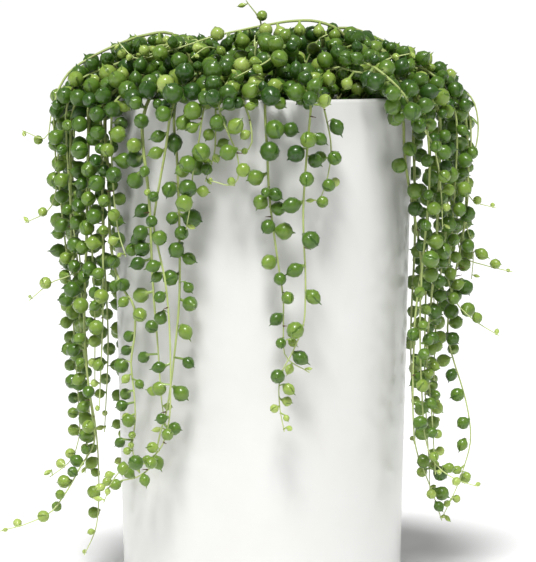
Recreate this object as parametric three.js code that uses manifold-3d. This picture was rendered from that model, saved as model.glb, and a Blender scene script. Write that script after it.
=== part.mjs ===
// A potted string of pearls: a plain round pot filled with potting soil, and the rooted stems of the
// plant, which arch over the rim and hang round it with their pearl-shaped leaves.
// Millimetres, +Z up. The origin is the middle of the pot's base, and -Y faces the viewer.
import * as THREE from 'three';
import { mergeVertices } from 'three/addons/utils/BufferGeometryUtils.js';
import Module from 'manifold-3d';

const wasm = await Module();
wasm.setup();

// The pot and its soil
const POT_HEIGHT = 214;
const RIM_RADIUS = 66;
const FOOT_RADIUS = 61;
const WALL = 5;
const FLOOR = 8;
const EDGE = 1.4;
const POT_SIDES = 32;
const SOIL_BELOW_RIM = 12;
const SEAT_GAP = 0.3;

// The stems
const STEM_RADIUS = 0.9;
const STEM_SIDES = 3;
const STEM_STEP = 12;
const STRAIGHT_ENOUGH = 0.7;
const FACE_STEP = 2 * Math.PI / STEM_SIDES;
const ROOT_DEPTH = 6;
const ROOT_STRAIGHT = 7;
const ROOT_HOLE_RADIUS = 2.8;
const ROOT_HOLE_SIDES = 3;
const ROOT_SPACING = 5;
const STEM_SPACING = 3.3;
const BEND_ROUNDS = 40;
const BEND_SHARE = 0.4;
const PUSH_SPREAD = 0.3;

// The crown: strands that hang nearest to the pot root farthest out and arch lowest over the rim
const NEAREST_HANG = 72;
const FARTHEST_HANG = 91;
const ROOT_RADIUS = 50;
const ROOT_RADIUS_STEP = 1.6;
const ARCH_HEIGHT = 9;
const ARCH_HEIGHT_STEP = 0.95;
const ARCH_ROOM = 3;
const ARCH_SHARES = [0.3, 0.6, 0.85];
const OWN_ARCH_SHARES = [0.5];

// The pearls
const PEARL_RADIUS = 3.7;
const YOUNG_RADIUS = 2.2;
const PEARL_SIDES = 4;
const PEARL_NECK = 0.05;
const PEARL_MIDDLE = 1.32;
const PEARL_RING = 0.48;
const PEARL_TIP = 1.28;
const PEARL_REACH = 1.12;
const CLEARANCE = 0.35;
const CROWN_PEARL_STEP = 15;
const HANG_PEARL_STEP = 21;
const TIP_PEARL_STEP = 2;
const LEAF_TILT = 0.2;
const TIP_LENGTH = 30;
const GOLDEN_ANGLE = Math.PI * (3 - Math.sqrt(5));

const SOIL_TOP = POT_HEIGHT - SOIL_BELOW_RIM;
const UP = new THREE.Vector3(0, 0, 1);
const TINY = new THREE.Vector3(0, 0, 0.01);

// Seeded draws, the same on every run
let drawState = 20413;

function draw(low, high) {
  drawState = (drawState * 1664525 + 1013904223) % 4294967296;
  return low + (high - low) * drawState / 4294967296;
}

// Solids

function solidOf(geometry) {
  const bare = geometry.clone();
  bare.deleteAttribute('normal');
  bare.deleteAttribute('uv');
  const merged = mergeVertices(bare, 1e-4);
  return new wasm.Manifold(new wasm.Mesh({
    numProp: 3,
    vertProperties: new Float32Array(merged.attributes.position.array),
    triVerts: new Uint32Array(merged.index.array),
  }));
}

function geometryOf(solid) {
  const mesh = solid.getMesh();
  const geometry = new THREE.BufferGeometry();
  geometry.setAttribute('position', new THREE.BufferAttribute(mesh.vertProperties, 3));
  geometry.setIndex(new THREE.BufferAttribute(mesh.triVerts, 1));
  geometry.computeVertexNormals();
  return geometry;
}

function turned(profile, sides) {
  const points = profile.map(([radius, height]) => new THREE.Vector2(radius, height));
  return new THREE.LatheGeometry(points, sides).rotateX(Math.PI / 2);
}

// Places round the pot: a distance from its axis, an azimuth in radians (0 right, back at a quarter
// turn, left, then front) and a height

function around(radius, azimuth, height) {
  return new THREE.Vector3(radius * Math.cos(azimuth), radius * Math.sin(azimuth), height);
}

function outwardAt(point) {
  return new THREE.Vector3(point.x, point.y, 0).normalize();
}

// The strands that hang. Each has a name, its azimuth at the rim in degrees, and a route of rows
// [drop below the rim, distance from the pot's axis, shift along the rim], chosen by eye. Some have
// leaves: rows [drop, offset along the rim from the stem, radius]. The others get theirs by rule.

const outward = (rows) => rows.map(([drop, out]) => [drop, out, 0]);
const sideways = (out, rows) => rows.map(([drop, shift]) => [drop, out, shift]);

const LEFT_STRANDS = [
  { name: 'left_outer', azimuth: 180,
    route: outward([[6, 88], [37, 89], [89, 84], [135, 81], [151, 81], [161, 85], [168, 94]]) },
  { name: 'left_longest', azimuth: 188,
    route: outward([[6, 83], [56, 84], [92, 81], [124, 77], [151, 73], [185, 73], [201, 79]]) },
  { name: 'left_sweeping', azimuth: 196,
    route: outward([[5, 77], [61, 79], [107, 80], [149, 76], [160, 82], [180, 96], [187, 118]]) },
  { name: 'left_sprig_high', azimuth: 176,
    route: outward([[2, 94], [11, 93], [18, 95], [20, 101], [15, 106]]) },
  { name: 'left_sprig_middle', azimuth: 184,
    route: outward([[-28, 42], [-25, 57], [-17, 75], [-6, 88], [12, 91], [40, 90], [51, 95], [55, 104]]) },
  { name: 'left_sprig_low', azimuth: 191,
    route: outward([[3, 86], [55, 84], [73, 81], [80, 93], [88, 103]]) },
  { name: 'left_short_outer', azimuth: 200,
    route: outward([[5, 79], [43, 79], [87, 77], [124, 77]]) },
  { name: 'left_short_inner', azimuth: 206,
    route: outward([[5, 76], [44, 76], [89, 76], [134, 78]]) },
  { name: 'left_front_long', azimuth: 200,
    route: sideways(72, [[9, 0], [37, 5], [64, 7], [80, 17], [88, 26], [96, 28], [110, 24], [132, 27],
      [152, 26], [159, 32]]),
    leaves: [[20, 3, 3.4], [38, -3, 3.6], [58, 4, 3.5], [78, -3, 3.5], [101, 4, 3], [122, -4, 3],
      [142, -4, 2.6]] },
  { name: 'left_front_short', azimuth: 210,
    route: sideways(74, [[8, 0], [37, 1], [58, 6], [67, 11]]) },
  { name: 'left_back_outer', azimuth: 171,
    route: outward([[6, 83], [50, 85], [100, 80], [140, 78], [168, 80]]) },
  { name: 'left_back_high', azimuth: 163,
    route: outward([[6, 89], [45, 88], [90, 84], [118, 85]]) },
  { name: 'left_back_inner', azimuth: 156,
    route: outward([[6, 76], [60, 78], [110, 76], [152, 78]]) },
];

const FRONT_STRANDS = [
  { name: 'front_far_left', azimuth: 227,
    route: sideways(72, [[5, 0], [15, -2], [42, 2], [77, 4], [107, 7], [142, 10]]),
    leaves: [[19, -2, 3.1], [34, 4, 3.6], [47, -4, 3.5], [66, 3, 3.4], [83, -5, 3.7], [102, 3, 2.9],
      [120, -4, 2.8]] },
  { name: 'front_left_sweeping', azimuth: 242,
    route: sideways(80, [[4, 0], [21, -3], [53, -9], [71, -4], [100, -1], [137, -2], [152, -12],
      [157, -29], [163, -35], [173, -42]]),
    leaves: [[8, -2, 3.4], [24, -4, 3], [41, 3, 3], [57, 3, 3.2], [74, -4, 3], [93, -4, 2.9],
      [112, 4, 2.9], [133, -4, 2.8]] },
  { name: 'front_left_long', azimuth: 239,
    route: sideways(72, [[4, 0], [28, 2], [66, 3], [93, 2], [132, -4], [156, -13], [164, -33], [170, -57]]),
    leaves: [[18, 1, 3.9], [34, -3, 3.6], [49, 4, 3.9], [66, -3, 3.4], [85, 4, 3.6], [104, -4, 3.4],
      [123, 4, 3.4], [142, 4, 2.8]] },
  { name: 'front_left_short', azimuth: 252,
    route: sideways(78, [[4, 0], [16, -2], [31, -5], [44, -6], [54, -8]]),
    leaves: [[4, -4, 3.6], [20, 3, 3.6], [36, -3, 3.8]] },
  { name: 'front_left_stub', azimuth: 254,
    route: sideways(72, [[5, 0], [18, 1], [34, -4]]),
    leaves: [[11, 3, 3.4]] },
  { name: 'front_curl_outer', azimuth: 257,
    route: sideways(80, [[2, 0], [13, 4], [23, 8], [33, 9], [36, 2], [33, -4]]),
    leaves: [[14, 3, 3.1]] },
  { name: 'front_curl_inner', azimuth: 264,
    route: sideways(74, [[3, 0], [12, 4], [19, 4], [21, -3], [20, -8]]),
    leaves: [[9, -2, 3.2]] },
  { name: 'front_middle', azimuth: 271,
    route: sideways(72, [[4, 0], [21, 1], [41, 2], [64, 5], [86, 8], [104, 8], [113, 13], [114, 19]]),
    leaves: [[12, 4, 3.8], [30, -4, 3.4], [46, 4, 3.3], [62, -4, 3.6], [79, 3, 3.2], [95, -3, 3]] },
  { name: 'front_middle_long', azimuth: 285,
    route: sideways(78, [[3, 0], [44, -3], [78, -2], [98, -4], [112, -12], [128, -13], [138, -11]]),
    leaves: [[16, 4, 3.3], [30, -2, 3.4], [43, -4, 3.8], [57, 3, 3.9], [75, -4, 3.5], [92, 4, 3.5],
      [107, -4, 3.5], [123, 3, 2.4]] },
  { name: 'front_right_stub', azimuth: 291,
    route: sideways(73, [[4, 0], [20, 3], [34, 1], [44, -3]]),
    leaves: [[11, 3, 3.4], [29, -2, 3]] },
  { name: 'front_right_slanting', azimuth: 310,
    route: sideways(85, [[-8, 0], [2, 9], [12, 20], [24, 31], [40, 36], [56, 38]]) },
];

const RIGHT_STRANDS = [
  { name: 'right_front_long', azimuth: 326,
    route: [[6, 72, 0], [28, 72, 3], [50, 72, 12], [74, 72, 22], [91, 72, 14], [124, 72, 11], [147, 72, 13],
      [158, 72, 21], [169, 76, 25], [180, 79, 26], [184, 81, 27]],
    leaves: [[8, -4, 3.4], [20, 3, 3.8], [37, -4, 3.5], [56, 4, 3.2], [75, -3, 3], [96, 3, 3],
      [117, -3, 2.8], [138, 3, 3]] },
  { name: 'right_front_outer', azimuth: 332,
    route: outward([[9, 79], [35, 81], [86, 77], [129, 78], [151, 81], [161, 90], [165, 104]]) },
  { name: 'right_front_inner', azimuth: 340,
    route: outward([[9, 81], [61, 80], [109, 76], [133, 78], [163, 80]]) },
  { name: 'right_inner', azimuth: 346,
    route: outward([[7, 75], [60, 74], [120, 73], [172, 76]]) },
  { name: 'right_sprig_low', azimuth: 348,
    route: outward([[10, 86], [62, 84], [82, 83], [94, 91], [103, 105]]) },
  { name: 'right_longest', azimuth: 354,
    route: outward([[3, 88], [45, 90], [88, 83], [106, 82], [130, 89], [150, 92], [171, 86], [184, 80]]) },
  { name: 'right_sprig_bent', azimuth: 358,
    route: outward([[10, 91], [36, 90], [52, 89], [70, 93], [80, 92]]) },
  { name: 'right_sprig_high', azimuth: 2,
    route: outward([[4, 94], [22, 94], [38, 89], [48, 95], [49, 103]]) },
  { name: 'right_sprig_middle', azimuth: 7,
    route: outward([[-31, 32], [-25, 52], [-11, 77], [8, 89], [55, 87], [70, 89], [75, 100], [78, 112]]) },
  { name: 'right_back_outer', azimuth: 14,
    route: outward([[6, 83], [50, 85], [100, 80], [146, 79]]) },
  { name: 'right_back_high', azimuth: 23,
    route: outward([[6, 89], [45, 87], [90, 84], [112, 86]]) },
  { name: 'right_back_inner', azimuth: 28,
    route: outward([[6, 76], [60, 78], [110, 76], [158, 78]]) },
];

// The back strands follow one rule, with seeded draws
const BACK_STRANDS = 10;
const BACK_FROM = 42;
const BACK_TO = 145;
const BACK_HANGS = [74, 83, 90];

function backStrands() {
  return Array.from({ length: BACK_STRANDS }, (_, i) => {
    const out = BACK_HANGS[i % BACK_HANGS.length];
    const drop = draw(95, 180);
    const sway = draw(-9, 9);
    const route = [[6, out, 0]];
    route.push([drop * 0.35, out + 1, sway * 0.3]);
    route.push([drop * 0.7, out - 3, sway]);
    route.push([drop, out, sway * 0.6]);
    const azimuth = BACK_FROM + (BACK_TO - BACK_FROM) * i / (BACK_STRANDS - 1) + draw(-3, 3);
    return { name: `back_${i + 1}`, azimuth, route };
  });
}

// Crown stems stay on top of the mound. A route here is a list of [x, y, height above the rim].
const CROWN_STEMS = [
  { name: 'crown_top_sprig', root: [-4, 3], route: [[-3, 0, 20], [0, -3, 31], [-5, -4, 36], [-7, -5, 42]] },
  { name: 'crown_across', root: [40, -8],
    route: [[39, -12, 20], [30, -16, 31], [14, -20, 33], [-4, -25, 30], [-22, -29, 26], [-40, -27, 20],
      [-56, -22, 17], [-62, -18, 24]] },
  { name: 'crown_front_right', root: [24, -34],
    route: [[28, -42, 14], [36, -48, 11], [50, -46, 15], [64, -40, 19]] },
];
const CROWN_RUNNERS = 8;
const RUNNER_REACH = [38, 56, 72];
const MOUND_HEIGHT = 27;
const MOUND_RADIUS = 92;

function crownRunners() {
  return Array.from({ length: CROWN_RUNNERS }, (_, i) => {
    const azimuth = i * GOLDEN_ANGLE + draw(-0.2, 0.2);
    const start = draw(6, 26);
    const reach = RUNNER_REACH[i % RUNNER_REACH.length] + draw(-4, 4);
    const bend = draw(-0.5, 0.5);
    const route = [0.35, 0.7, 1].map((share) => {
      const out = start + share * (reach - start);
      const height = MOUND_HEIGHT * (1 - (out / MOUND_RADIUS) ** 2);
      const spot = around(out, azimuth + bend * share * share, height);
      return [spot.x, spot.y, spot.z];
    });
    const root = around(start, azimuth, 0);
    return { name: `crown_runner_${i + 1}`, root: [root.x, root.y], route };
  });
}

// Stem routes

function rootedAt(x, y) {
  return [-ROOT_DEPTH, 0, ROOT_STRAIGHT].map((height) => new THREE.Vector3(x, y, SOIL_TOP + height));
}

function hangingPoints({ azimuth, route }) {
  const turn = THREE.MathUtils.degToRad(azimuth);
  const [firstDrop, firstOut] = route[0];
  const hang = Math.min(FARTHEST_HANG, Math.max(...route.slice(0, 4).map(([, out]) => out)));
  const root = ROOT_RADIUS - ROOT_RADIUS_STEP * (hang - NEAREST_HANG);
  const arch = ARCH_HEIGHT + ARCH_HEIGHT_STEP * (hang - NEAREST_HANG);
  const foot = around(root, turn, 0);
  const points = rootedAt(foot.x, foot.y);
  const shares = firstDrop < 0 ? OWN_ARCH_SHARES : ARCH_SHARES;
  for (const share of shares) {
    const out = root + share * (firstOut - root);
    points.push(around(out, turn, POT_HEIGHT + arch * (1 - (out / (hang + ARCH_ROOM)) ** 2)));
  }
  for (const [drop, out, shift] of route) {
    points.push(around(out, turn + shift / out, POT_HEIGHT - drop));
  }
  return points;
}

function crownPoints({ root, route }) {
  return [
    ...rootedAt(...root),
    ...route.map(([x, y, height]) => new THREE.Vector3(x, y, POT_HEIGHT + height)),
  ];
}

function curveThrough(points) {
  return new THREE.CatmullRomCurve3(points, false, 'catmullrom', 0.5);
}

// Roots that would stand too close together are moved apart, with the whole straight foot above them
function spreadRoots(routes) {
  for (let round = 0; round < BEND_ROUNDS; round++) {
    for (let a = 0; a < routes.length; a++) {
      for (let b = a + 1; b < routes.length; b++) {
        const apart = routes[a][0].clone().sub(routes[b][0]);
        const gap = apart.length();
        if (gap < ROOT_SPACING) {
          apart.multiplyScalar((ROOT_SPACING - gap) / 2 / Math.max(gap, 0.01));
          routes[a].slice(0, 3).forEach((point) => point.add(apart));
          routes[b].slice(0, 3).forEach((point) => point.sub(apart));
        }
      }
    }
  }
}

// Drops the points that a nearly straight stretch can do without
function straightened(points) {
  const last = points.length - 1;
  let farthest = 0;
  let bow = STRAIGHT_ENOUGH;
  const line = new THREE.Line3(points[0], points[last]);
  for (let i = 1; i < last; i++) {
    const gap = line.closestPointToPoint(points[i], true, new THREE.Vector3()).distanceTo(points[i]);
    if (gap > bow) {
      bow = gap;
      farthest = i;
    }
  }
  if (farthest === 0) return [points[0], points[last]];
  const before = straightened(points.slice(0, farthest + 1));
  return [...before.slice(0, -1), ...straightened(points.slice(farthest))];
}

// A stem's route: straight pieces from point to point, with each bend shared by the two beside it
class StemRoute extends THREE.Curve {
  constructor(points) {
    super();
    this.points = points;
    this.last = points.length - 1;
    const frames = this.computeFrenetFrames(this.last, false);
    this.normals = frames.normals;
    this.binormals = frames.binormals;
  }

  getPointAt(share, target = new THREE.Vector3()) {
    const place = share * this.last;
    const i = Math.min(Math.floor(place), this.last - 1);
    return target.lerpVectors(this.points[i], this.points[i + 1], place - i);
  }

  getTangentAt(share, target = new THREE.Vector3()) {
    const i = Math.round(share * this.last);
    const into = this.directionOf(Math.max(i - 1, 0));
    return target.copy(this.directionOf(Math.min(i, this.last - 1))).add(into).normalize();
  }

  directionOf(piece) {
    return this.points[piece + 1].clone().sub(this.points[piece]).normalize();
  }

  // Where a direction lies round the stem at one of its points, as an angle
  angleOf(direction, i) {
    return Math.atan2(direction.dot(this.binormals[i]), direction.dot(this.normals[i]));
  }

  directionAt(angle, i) {
    const across = this.binormals[i].clone().multiplyScalar(Math.sin(angle));
    return across.addScaledVector(this.normals[i], Math.cos(angle));
  }
}

// The closest points of two straight pieces: how far along each, and the way between them
function closest(startA, endA, startB, endB) {
  const alongA = endA.clone().sub(startA);
  const alongB = endB.clone().sub(startB);
  const between = startA.clone().sub(startB);
  const aa = alongA.dot(alongA);
  const bb = alongB.dot(alongB);
  const ab = alongA.dot(alongB);
  const ca = alongA.dot(between);
  const cb = alongB.dot(between);
  const clamp = (value) => Math.min(1, Math.max(0, value));
  const spread = aa * bb - ab * ab;
  let shareA = spread > 1e-9 ? clamp((ab * cb - ca * bb) / spread) : 0.5;
  const shareB = clamp((ab * shareA + cb) / bb);
  shareA = clamp((ab * shareB - ca) / aa);
  const onB = startB.clone().addScaledVector(alongB, shareB);
  const way = startA.clone().addScaledVector(alongA, shareA).sub(onB);
  return { shareA, shareB, way, gap: way.length() };
}

// How far a point lies from the pot's wall, and the way out of it, in the plane through the axis
function fromWall(point) {
  const out = Math.hypot(point.x, point.y);
  const radial = out - Math.min(RIM_RADIUS, Math.max(RIM_RADIUS - WALL, out));
  const upright = point.z - Math.min(POT_HEIGHT, point.z);
  return { gap: Math.hypot(radial, upright), radial, upright };
}

// Bends the stems until none comes too close to another, to the pot or to the soil
function bendClear(stems) {
  for (let round = 0; round < BEND_ROUNDS; round++) {
    const pushes = stems.map((stem) => stem.map(() => new THREE.Vector3()));
    for (let a = 0; a < stems.length; a++) {
      for (let b = a + 1; b < stems.length; b++) {
        for (let i = 0; i + 1 < stems[a].length; i++) {
          for (let j = 0; j + 1 < stems[b].length; j++) {
            if (stems[a][i].distanceToSquared(stems[b][j]) > 4 * STEM_STEP * STEM_STEP) continue;
            const near = closest(stems[a][i], stems[a][i + 1], stems[b][j], stems[b][j + 1]);
            if (near.gap >= STEM_SPACING) continue;
            const way = near.gap > 1e-3 ? near.way.divideScalar(near.gap) : UP.clone();
            way.multiplyScalar((STEM_SPACING - near.gap) * BEND_SHARE);
            pushes[a][i].addScaledVector(way, 1 - near.shareA);
            pushes[a][i + 1].addScaledVector(way, near.shareA);
            pushes[b][j].addScaledVector(way, near.shareB - 1);
            pushes[b][j + 1].addScaledVector(way, -near.shareB);
          }
        }
      }
    }
    stems = stems.map((stem, s) => {
      const moved = stem.map((point, i) => {
        if (i < 2) return point.clone();
        const before = pushes[s][i - 1];
        const after = pushes[s][Math.min(i + 1, stem.length - 1)];
        const place = point.clone().add(pushes[s][i]);
        place.addScaledVector(before, PUSH_SPREAD).addScaledVector(after, PUSH_SPREAD);
        return keptOffPot(place);
      });
      return curveThrough(moved).getSpacedPoints(stem.length - 1);
    });
  }
  return stems;
}

function keptOffPot(place) {
  const clear = STEM_RADIUS + 2 * CLEARANCE;
  const wall = fromWall(place);
  if (wall.gap < clear) {
    const outwards = outwardAt(place);
    const out = Math.hypot(place.x, place.y);
    if (wall.upright > 0) place.z = POT_HEIGHT + clear;
    else if (out > RIM_RADIUS - WALL / 2) place.addScaledVector(outwards, RIM_RADIUS + clear - out);
    else place.addScaledVector(outwards, RIM_RADIUS - WALL - clear - out);
  }
  if (Math.hypot(place.x, place.y) < RIM_RADIUS - WALL) place.z = Math.max(place.z, SOIL_TOP + clear);
  return place;
}

// Pearls. One is modelled once, with its neck at the origin and its tip up +Y, and copied.

const PEARL_AXIS = new THREE.Vector3(0, 1, 0);

function pearlGeometry() {
  const low = PEARL_MIDDLE - PEARL_RING;
  const high = PEARL_MIDDLE + PEARL_RING;
  const profile = [[0, PEARL_NECK], [1, low], [1, high], [0, PEARL_MIDDLE + PEARL_TIP]];
  const points = profile.map(([radius, height]) => new THREE.Vector2(radius, height));
  const geometry = new THREE.LatheGeometry(points, PEARL_SIDES);
  const position = geometry.attributes.position;
  const halfStep = Math.PI / PEARL_SIDES;
  for (let i = 0; i < position.count; i++) {
    if (Math.abs(position.getY(i) - high) > 1e-6) continue;
    const spot = new THREE.Vector3().fromBufferAttribute(position, i);
    spot.applyAxisAngle(PEARL_AXIS, halfStep);
    position.setXYZ(i, spot.x, spot.y, spot.z);
  }
  return geometry;
}

const PEARL = pearlGeometry();

function pearlSolid({ neck, direction, radius, length }) {
  const turn = new THREE.Quaternion().setFromUnitVectors(PEARL_AXIS, direction);
  const size = new THREE.Vector3(radius, radius * length, radius);
  return solidOf(PEARL.clone().applyMatrix4(new THREE.Matrix4().compose(neck, turn, size)));
}

function middleOf({ neck, direction, radius, length }) {
  return neck.clone().addScaledVector(direction, PEARL_MIDDLE * radius * length);
}

function tipOf({ neck, direction, radius, length }) {
  return neck.clone().addScaledVector(direction, (PEARL_MIDDLE + PEARL_TIP) * radius * length);
}

// A pearl may grow where it touches no other pearl, no other stem, and neither the pot nor the soil
function isClear(pearl, owner) {
  const middle = middleOf(pearl);
  const tip = tipOf(pearl);
  const reach = PEARL_REACH * pearl.radius * pearl.length;
  for (const other of pearls) {
    const otherReach = PEARL_REACH * other.radius * other.length;
    if (middle.distanceTo(middleOf(other)) < reach + otherReach + CLEARANCE) return false;
    if (tip.distanceTo(middleOf(other)) < otherReach + 2 * CLEARANCE) return false;
    if (middle.distanceTo(tipOf(other)) < reach + 2 * CLEARANCE) return false;
  }
  for (const { route, index } of plans) {
    const own = index === owner.index;
    const room = own ? pearl.radius : reach + STEM_RADIUS + CLEARANCE;
    for (let i = 0; i < route.last; i++) {
      const [start, end] = [route.points[i], route.points[i + 1]];
      if (closest(start, end, middle, middle.clone().add(TINY)).gap < room) return false;
      if (!own && closest(start, end, middle, tip).gap < STEM_RADIUS + CLEARANCE) return false;
    }
  }
  if (fromWall(middle).gap < reach + CLEARANCE) return false;
  if (fromWall(tip).gap < 2 * CLEARANCE) return false;
  const inside = Math.hypot(middle.x, middle.y) < RIM_RADIUS;
  return !inside || Math.min(middle.z - reach, tip.z - CLEARANCE) > SOIL_TOP + CLEARANCE;
}

// The piece of a stem that lies a given length along it, and the point there
function placeOn(route, distance) {
  let left = distance;
  for (let i = 0; i < route.last; i++) {
    const length = route.points[i].distanceTo(route.points[i + 1]);
    if (left <= length || i + 1 === route.last) {
      const point = route.points[i].clone().lerp(route.points[i + 1], Math.min(1, left / length));
      return { piece: i, point };
    }
    left -= length;
  }
  return null;
}

function lengthOf(route) {
  return route.points.slice(1).reduce((sum, point, i) => sum + point.distanceTo(route.points[i]), 0);
}

// Leaves sit on the flat faces of the three-sided stem. The wished direction picks the face to try
// first, and the others follow where it has no room.
function grow(plan, distance, wish, radius, length) {
  const { piece, point } = placeOn(plan.route, distance);
  const wished = plan.route.angleOf(wish, piece);
  const faces = Array.from({ length: STEM_SIDES }, (_, i) => plan.corner + FACE_STEP * (i + 0.5));
  faces.sort((a, b) => Math.cos(b - wished) - Math.cos(a - wished));
  for (const face of faces) {
    const direction = plan.route.directionAt(face, piece).addScaledVector(UP, LEAF_TILT).normalize();
    const pearl = { neck: point, direction, radius, length };
    if (isClear(pearl, plan)) {
      pearls.push(pearl);
      plan.pearls.push(pearl);
      return;
    }
  }
}

// Leaves listed by hand: the drop gives the place on the hanging part, the offset gives the side
function growListed(plan) {
  const total = lengthOf(plan.route);
  for (const [drop, offset, radius] of plan.strand.leaves) {
    let distance = total;
    for (let s = total; s > 0; s -= 1) {
      if (placeOn(plan.route, s).point.z <= POT_HEIGHT - drop) distance = s;
      else if (distance < total) break;
    }
    const out = outwardAt(placeOn(plan.route, distance).point);
    const wish = out.clone().addScaledVector(new THREE.Vector3(-out.y, out.x, 0), offset);
    grow(plan, distance, wish, radius, 1);
  }
}

function growByRule(plan) {
  const total = lengthOf(plan.route);
  let side = draw(0, 1) < 0.5 ? 1 : -1;
  let distance = total - TIP_PEARL_STEP;
  while (distance > ROOT_DEPTH + ROOT_STRAIGHT) {
    const { point } = placeOn(plan.route, distance);
    const onCrown = point.z > SOIL_TOP;
    const young = Math.max(0, 1 - (total - distance) / TIP_LENGTH);
    const radius = THREE.MathUtils.lerp(PEARL_RADIUS, YOUNG_RADIUS, young) * draw(0.9, 1.1);
    const out = outwardAt(point);
    const wish = out.clone().addScaledVector(new THREE.Vector3(-out.y, out.x, 0), side * draw(0.6, 2));
    if (onCrown || !plan.strand.leaves || young > 0) grow(plan, distance, wish, radius, 1 + 0.2 * young);
    side = -side;
    distance -= (onCrown ? CROWN_PEARL_STEP : HANG_PEARL_STEP) * draw(0.8, 1.2);
  }
}

function stemSolid({ route, corner }) {
  const corners = Array.from({ length: STEM_SIDES }, (_, i) => {
    const angle = corner + FACE_STEP * i;
    return new THREE.Vector2(STEM_RADIUS * Math.cos(angle), STEM_RADIUS * Math.sin(angle));
  });
  const shape = new THREE.Shape(corners);
  const along = { extrudePath: route, steps: route.last, bevelEnabled: false };
  return solidOf(new THREE.ExtrudeGeometry(shape, along));
}

// The plant: its routes bent clear of each other, then its leaves, the hand-listed ones first

function plantPlans() {
  const strands = [...LEFT_STRANDS, ...FRONT_STRANDS, ...RIGHT_STRANDS, ...backStrands()];
  const crown = [...CROWN_STEMS, ...crownRunners()];
  const routes = [...strands.map(hangingPoints), ...crown.map(crownPoints)];
  spreadRoots(routes);
  const stems = bendClear(routes.map((points) => {
    const curve = curveThrough(points);
    return curve.getSpacedPoints(Math.max(4, Math.round(curve.getLength() / STEM_STEP)));
  }));
  return [...strands, ...crown].map((strand, index) => {
    const route = new StemRoute(straightened(stems[index]));
    const outside = index < strands.length ? outwardAt(route.points[route.last]) : UP;
    return { strand, index, route, corner: route.angleOf(outside, route.last), pearls: [] };
  });
}

const plans = plantPlans();
const pearls = [];
for (const plan of plans) if (plan.strand.leaves) growListed(plan);
for (const plan of plans) growByRule(plan);

// The pieces

const MATERIALS = {
  pot: new THREE.MeshStandardMaterial({ color: 0xf2f1ec, roughness: 0.25, metalness: 0 }),
  soil: new THREE.MeshStandardMaterial({ color: 0x3a2c22, roughness: 0.95, metalness: 0 }),
  leaf: new THREE.MeshStandardMaterial({ color: 0x4f8a34, roughness: 0.35, metalness: 0 }),
};

const group = new THREE.Group();

function addPiece(name, solid, material) {
  const mesh = new THREE.Mesh(geometryOf(solid), material.clone());
  mesh.name = name;
  group.add(mesh);
}

function potSolid() {
  const innerFoot = FOOT_RADIUS - WALL;
  const innerRim = RIM_RADIUS - WALL;
  return solidOf(turned([
    [0, 0], [FOOT_RADIUS - EDGE, 0], [FOOT_RADIUS, EDGE],
    [RIM_RADIUS, POT_HEIGHT - EDGE], [RIM_RADIUS - EDGE, POT_HEIGHT],
    [innerRim + EDGE, POT_HEIGHT], [innerRim, POT_HEIGHT - EDGE],
    [innerFoot, FLOOR], [0, FLOOR],
  ], POT_SIDES));
}

function soilSolid() {
  const innerFoot = FOOT_RADIUS - WALL - SEAT_GAP;
  const taper = (RIM_RADIUS - FOOT_RADIUS) / POT_HEIGHT;
  const top = innerFoot + taper * (SOIL_TOP - FLOOR);
  const low = FLOOR + SEAT_GAP;
  let soil = solidOf(turned([[0, low], [innerFoot, low], [top, SOIL_TOP], [0, SOIL_TOP]], POT_SIDES));
  for (const { route } of plans) {
    const { x, y } = route.points[0];
    const depth = 2 * (ROOT_DEPTH + SEAT_GAP);
    const hole = new THREE.CylinderGeometry(ROOT_HOLE_RADIUS, ROOT_HOLE_RADIUS, depth, ROOT_HOLE_SIDES);
    soil = soil.subtract(solidOf(hole.rotateX(Math.PI / 2).translate(x, y, SOIL_TOP)));
  }
  return soil;
}

addPiece('pot', potSolid(), MATERIALS.pot);
addPiece('potting_soil', soilSolid(), MATERIALS.soil);
for (const plan of plans) {
  const parts = [stemSolid(plan), ...plan.pearls.map(pearlSolid)];
  addPiece(plan.strand.name, wasm.Manifold.union(parts), MATERIALS.leaf);
}

export default group;
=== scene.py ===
# %% [markdown]
# # A potted string of pearls
#
# String of pearls is a trailing succulent. Thin stems root in the soil, arch over the rim of the pot
# and hang round it, and every leaf is a small green ball on a short stalk. The leaf is a ball because
# that shape holds the most water behind the least skin. This lesson builds the plant round a packed
# model: a plain pot, its soil and one bare solid for each stem.
#
# We load that frame first. Nothing in it moves, so each finer piece goes where its solid stands, and
# the box round it is kept, to compare with the finished plant at the end.

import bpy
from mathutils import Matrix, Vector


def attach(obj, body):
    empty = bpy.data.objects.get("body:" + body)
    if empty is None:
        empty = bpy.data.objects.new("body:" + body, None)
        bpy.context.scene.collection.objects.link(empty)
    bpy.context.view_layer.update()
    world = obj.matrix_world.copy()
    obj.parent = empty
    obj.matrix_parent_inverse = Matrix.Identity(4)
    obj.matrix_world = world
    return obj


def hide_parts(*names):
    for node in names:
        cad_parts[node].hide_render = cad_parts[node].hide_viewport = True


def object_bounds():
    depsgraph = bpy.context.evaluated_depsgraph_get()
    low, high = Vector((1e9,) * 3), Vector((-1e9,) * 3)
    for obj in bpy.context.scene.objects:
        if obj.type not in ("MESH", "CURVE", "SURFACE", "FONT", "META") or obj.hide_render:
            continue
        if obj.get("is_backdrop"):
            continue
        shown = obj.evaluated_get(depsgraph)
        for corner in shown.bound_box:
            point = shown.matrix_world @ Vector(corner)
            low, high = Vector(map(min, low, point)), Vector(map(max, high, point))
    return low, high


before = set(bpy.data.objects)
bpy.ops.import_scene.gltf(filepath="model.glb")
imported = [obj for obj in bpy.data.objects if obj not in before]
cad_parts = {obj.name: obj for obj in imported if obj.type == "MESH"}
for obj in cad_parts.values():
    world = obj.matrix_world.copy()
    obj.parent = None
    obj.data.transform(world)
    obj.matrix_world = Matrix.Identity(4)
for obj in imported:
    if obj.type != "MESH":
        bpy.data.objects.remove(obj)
cad_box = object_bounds()
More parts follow.
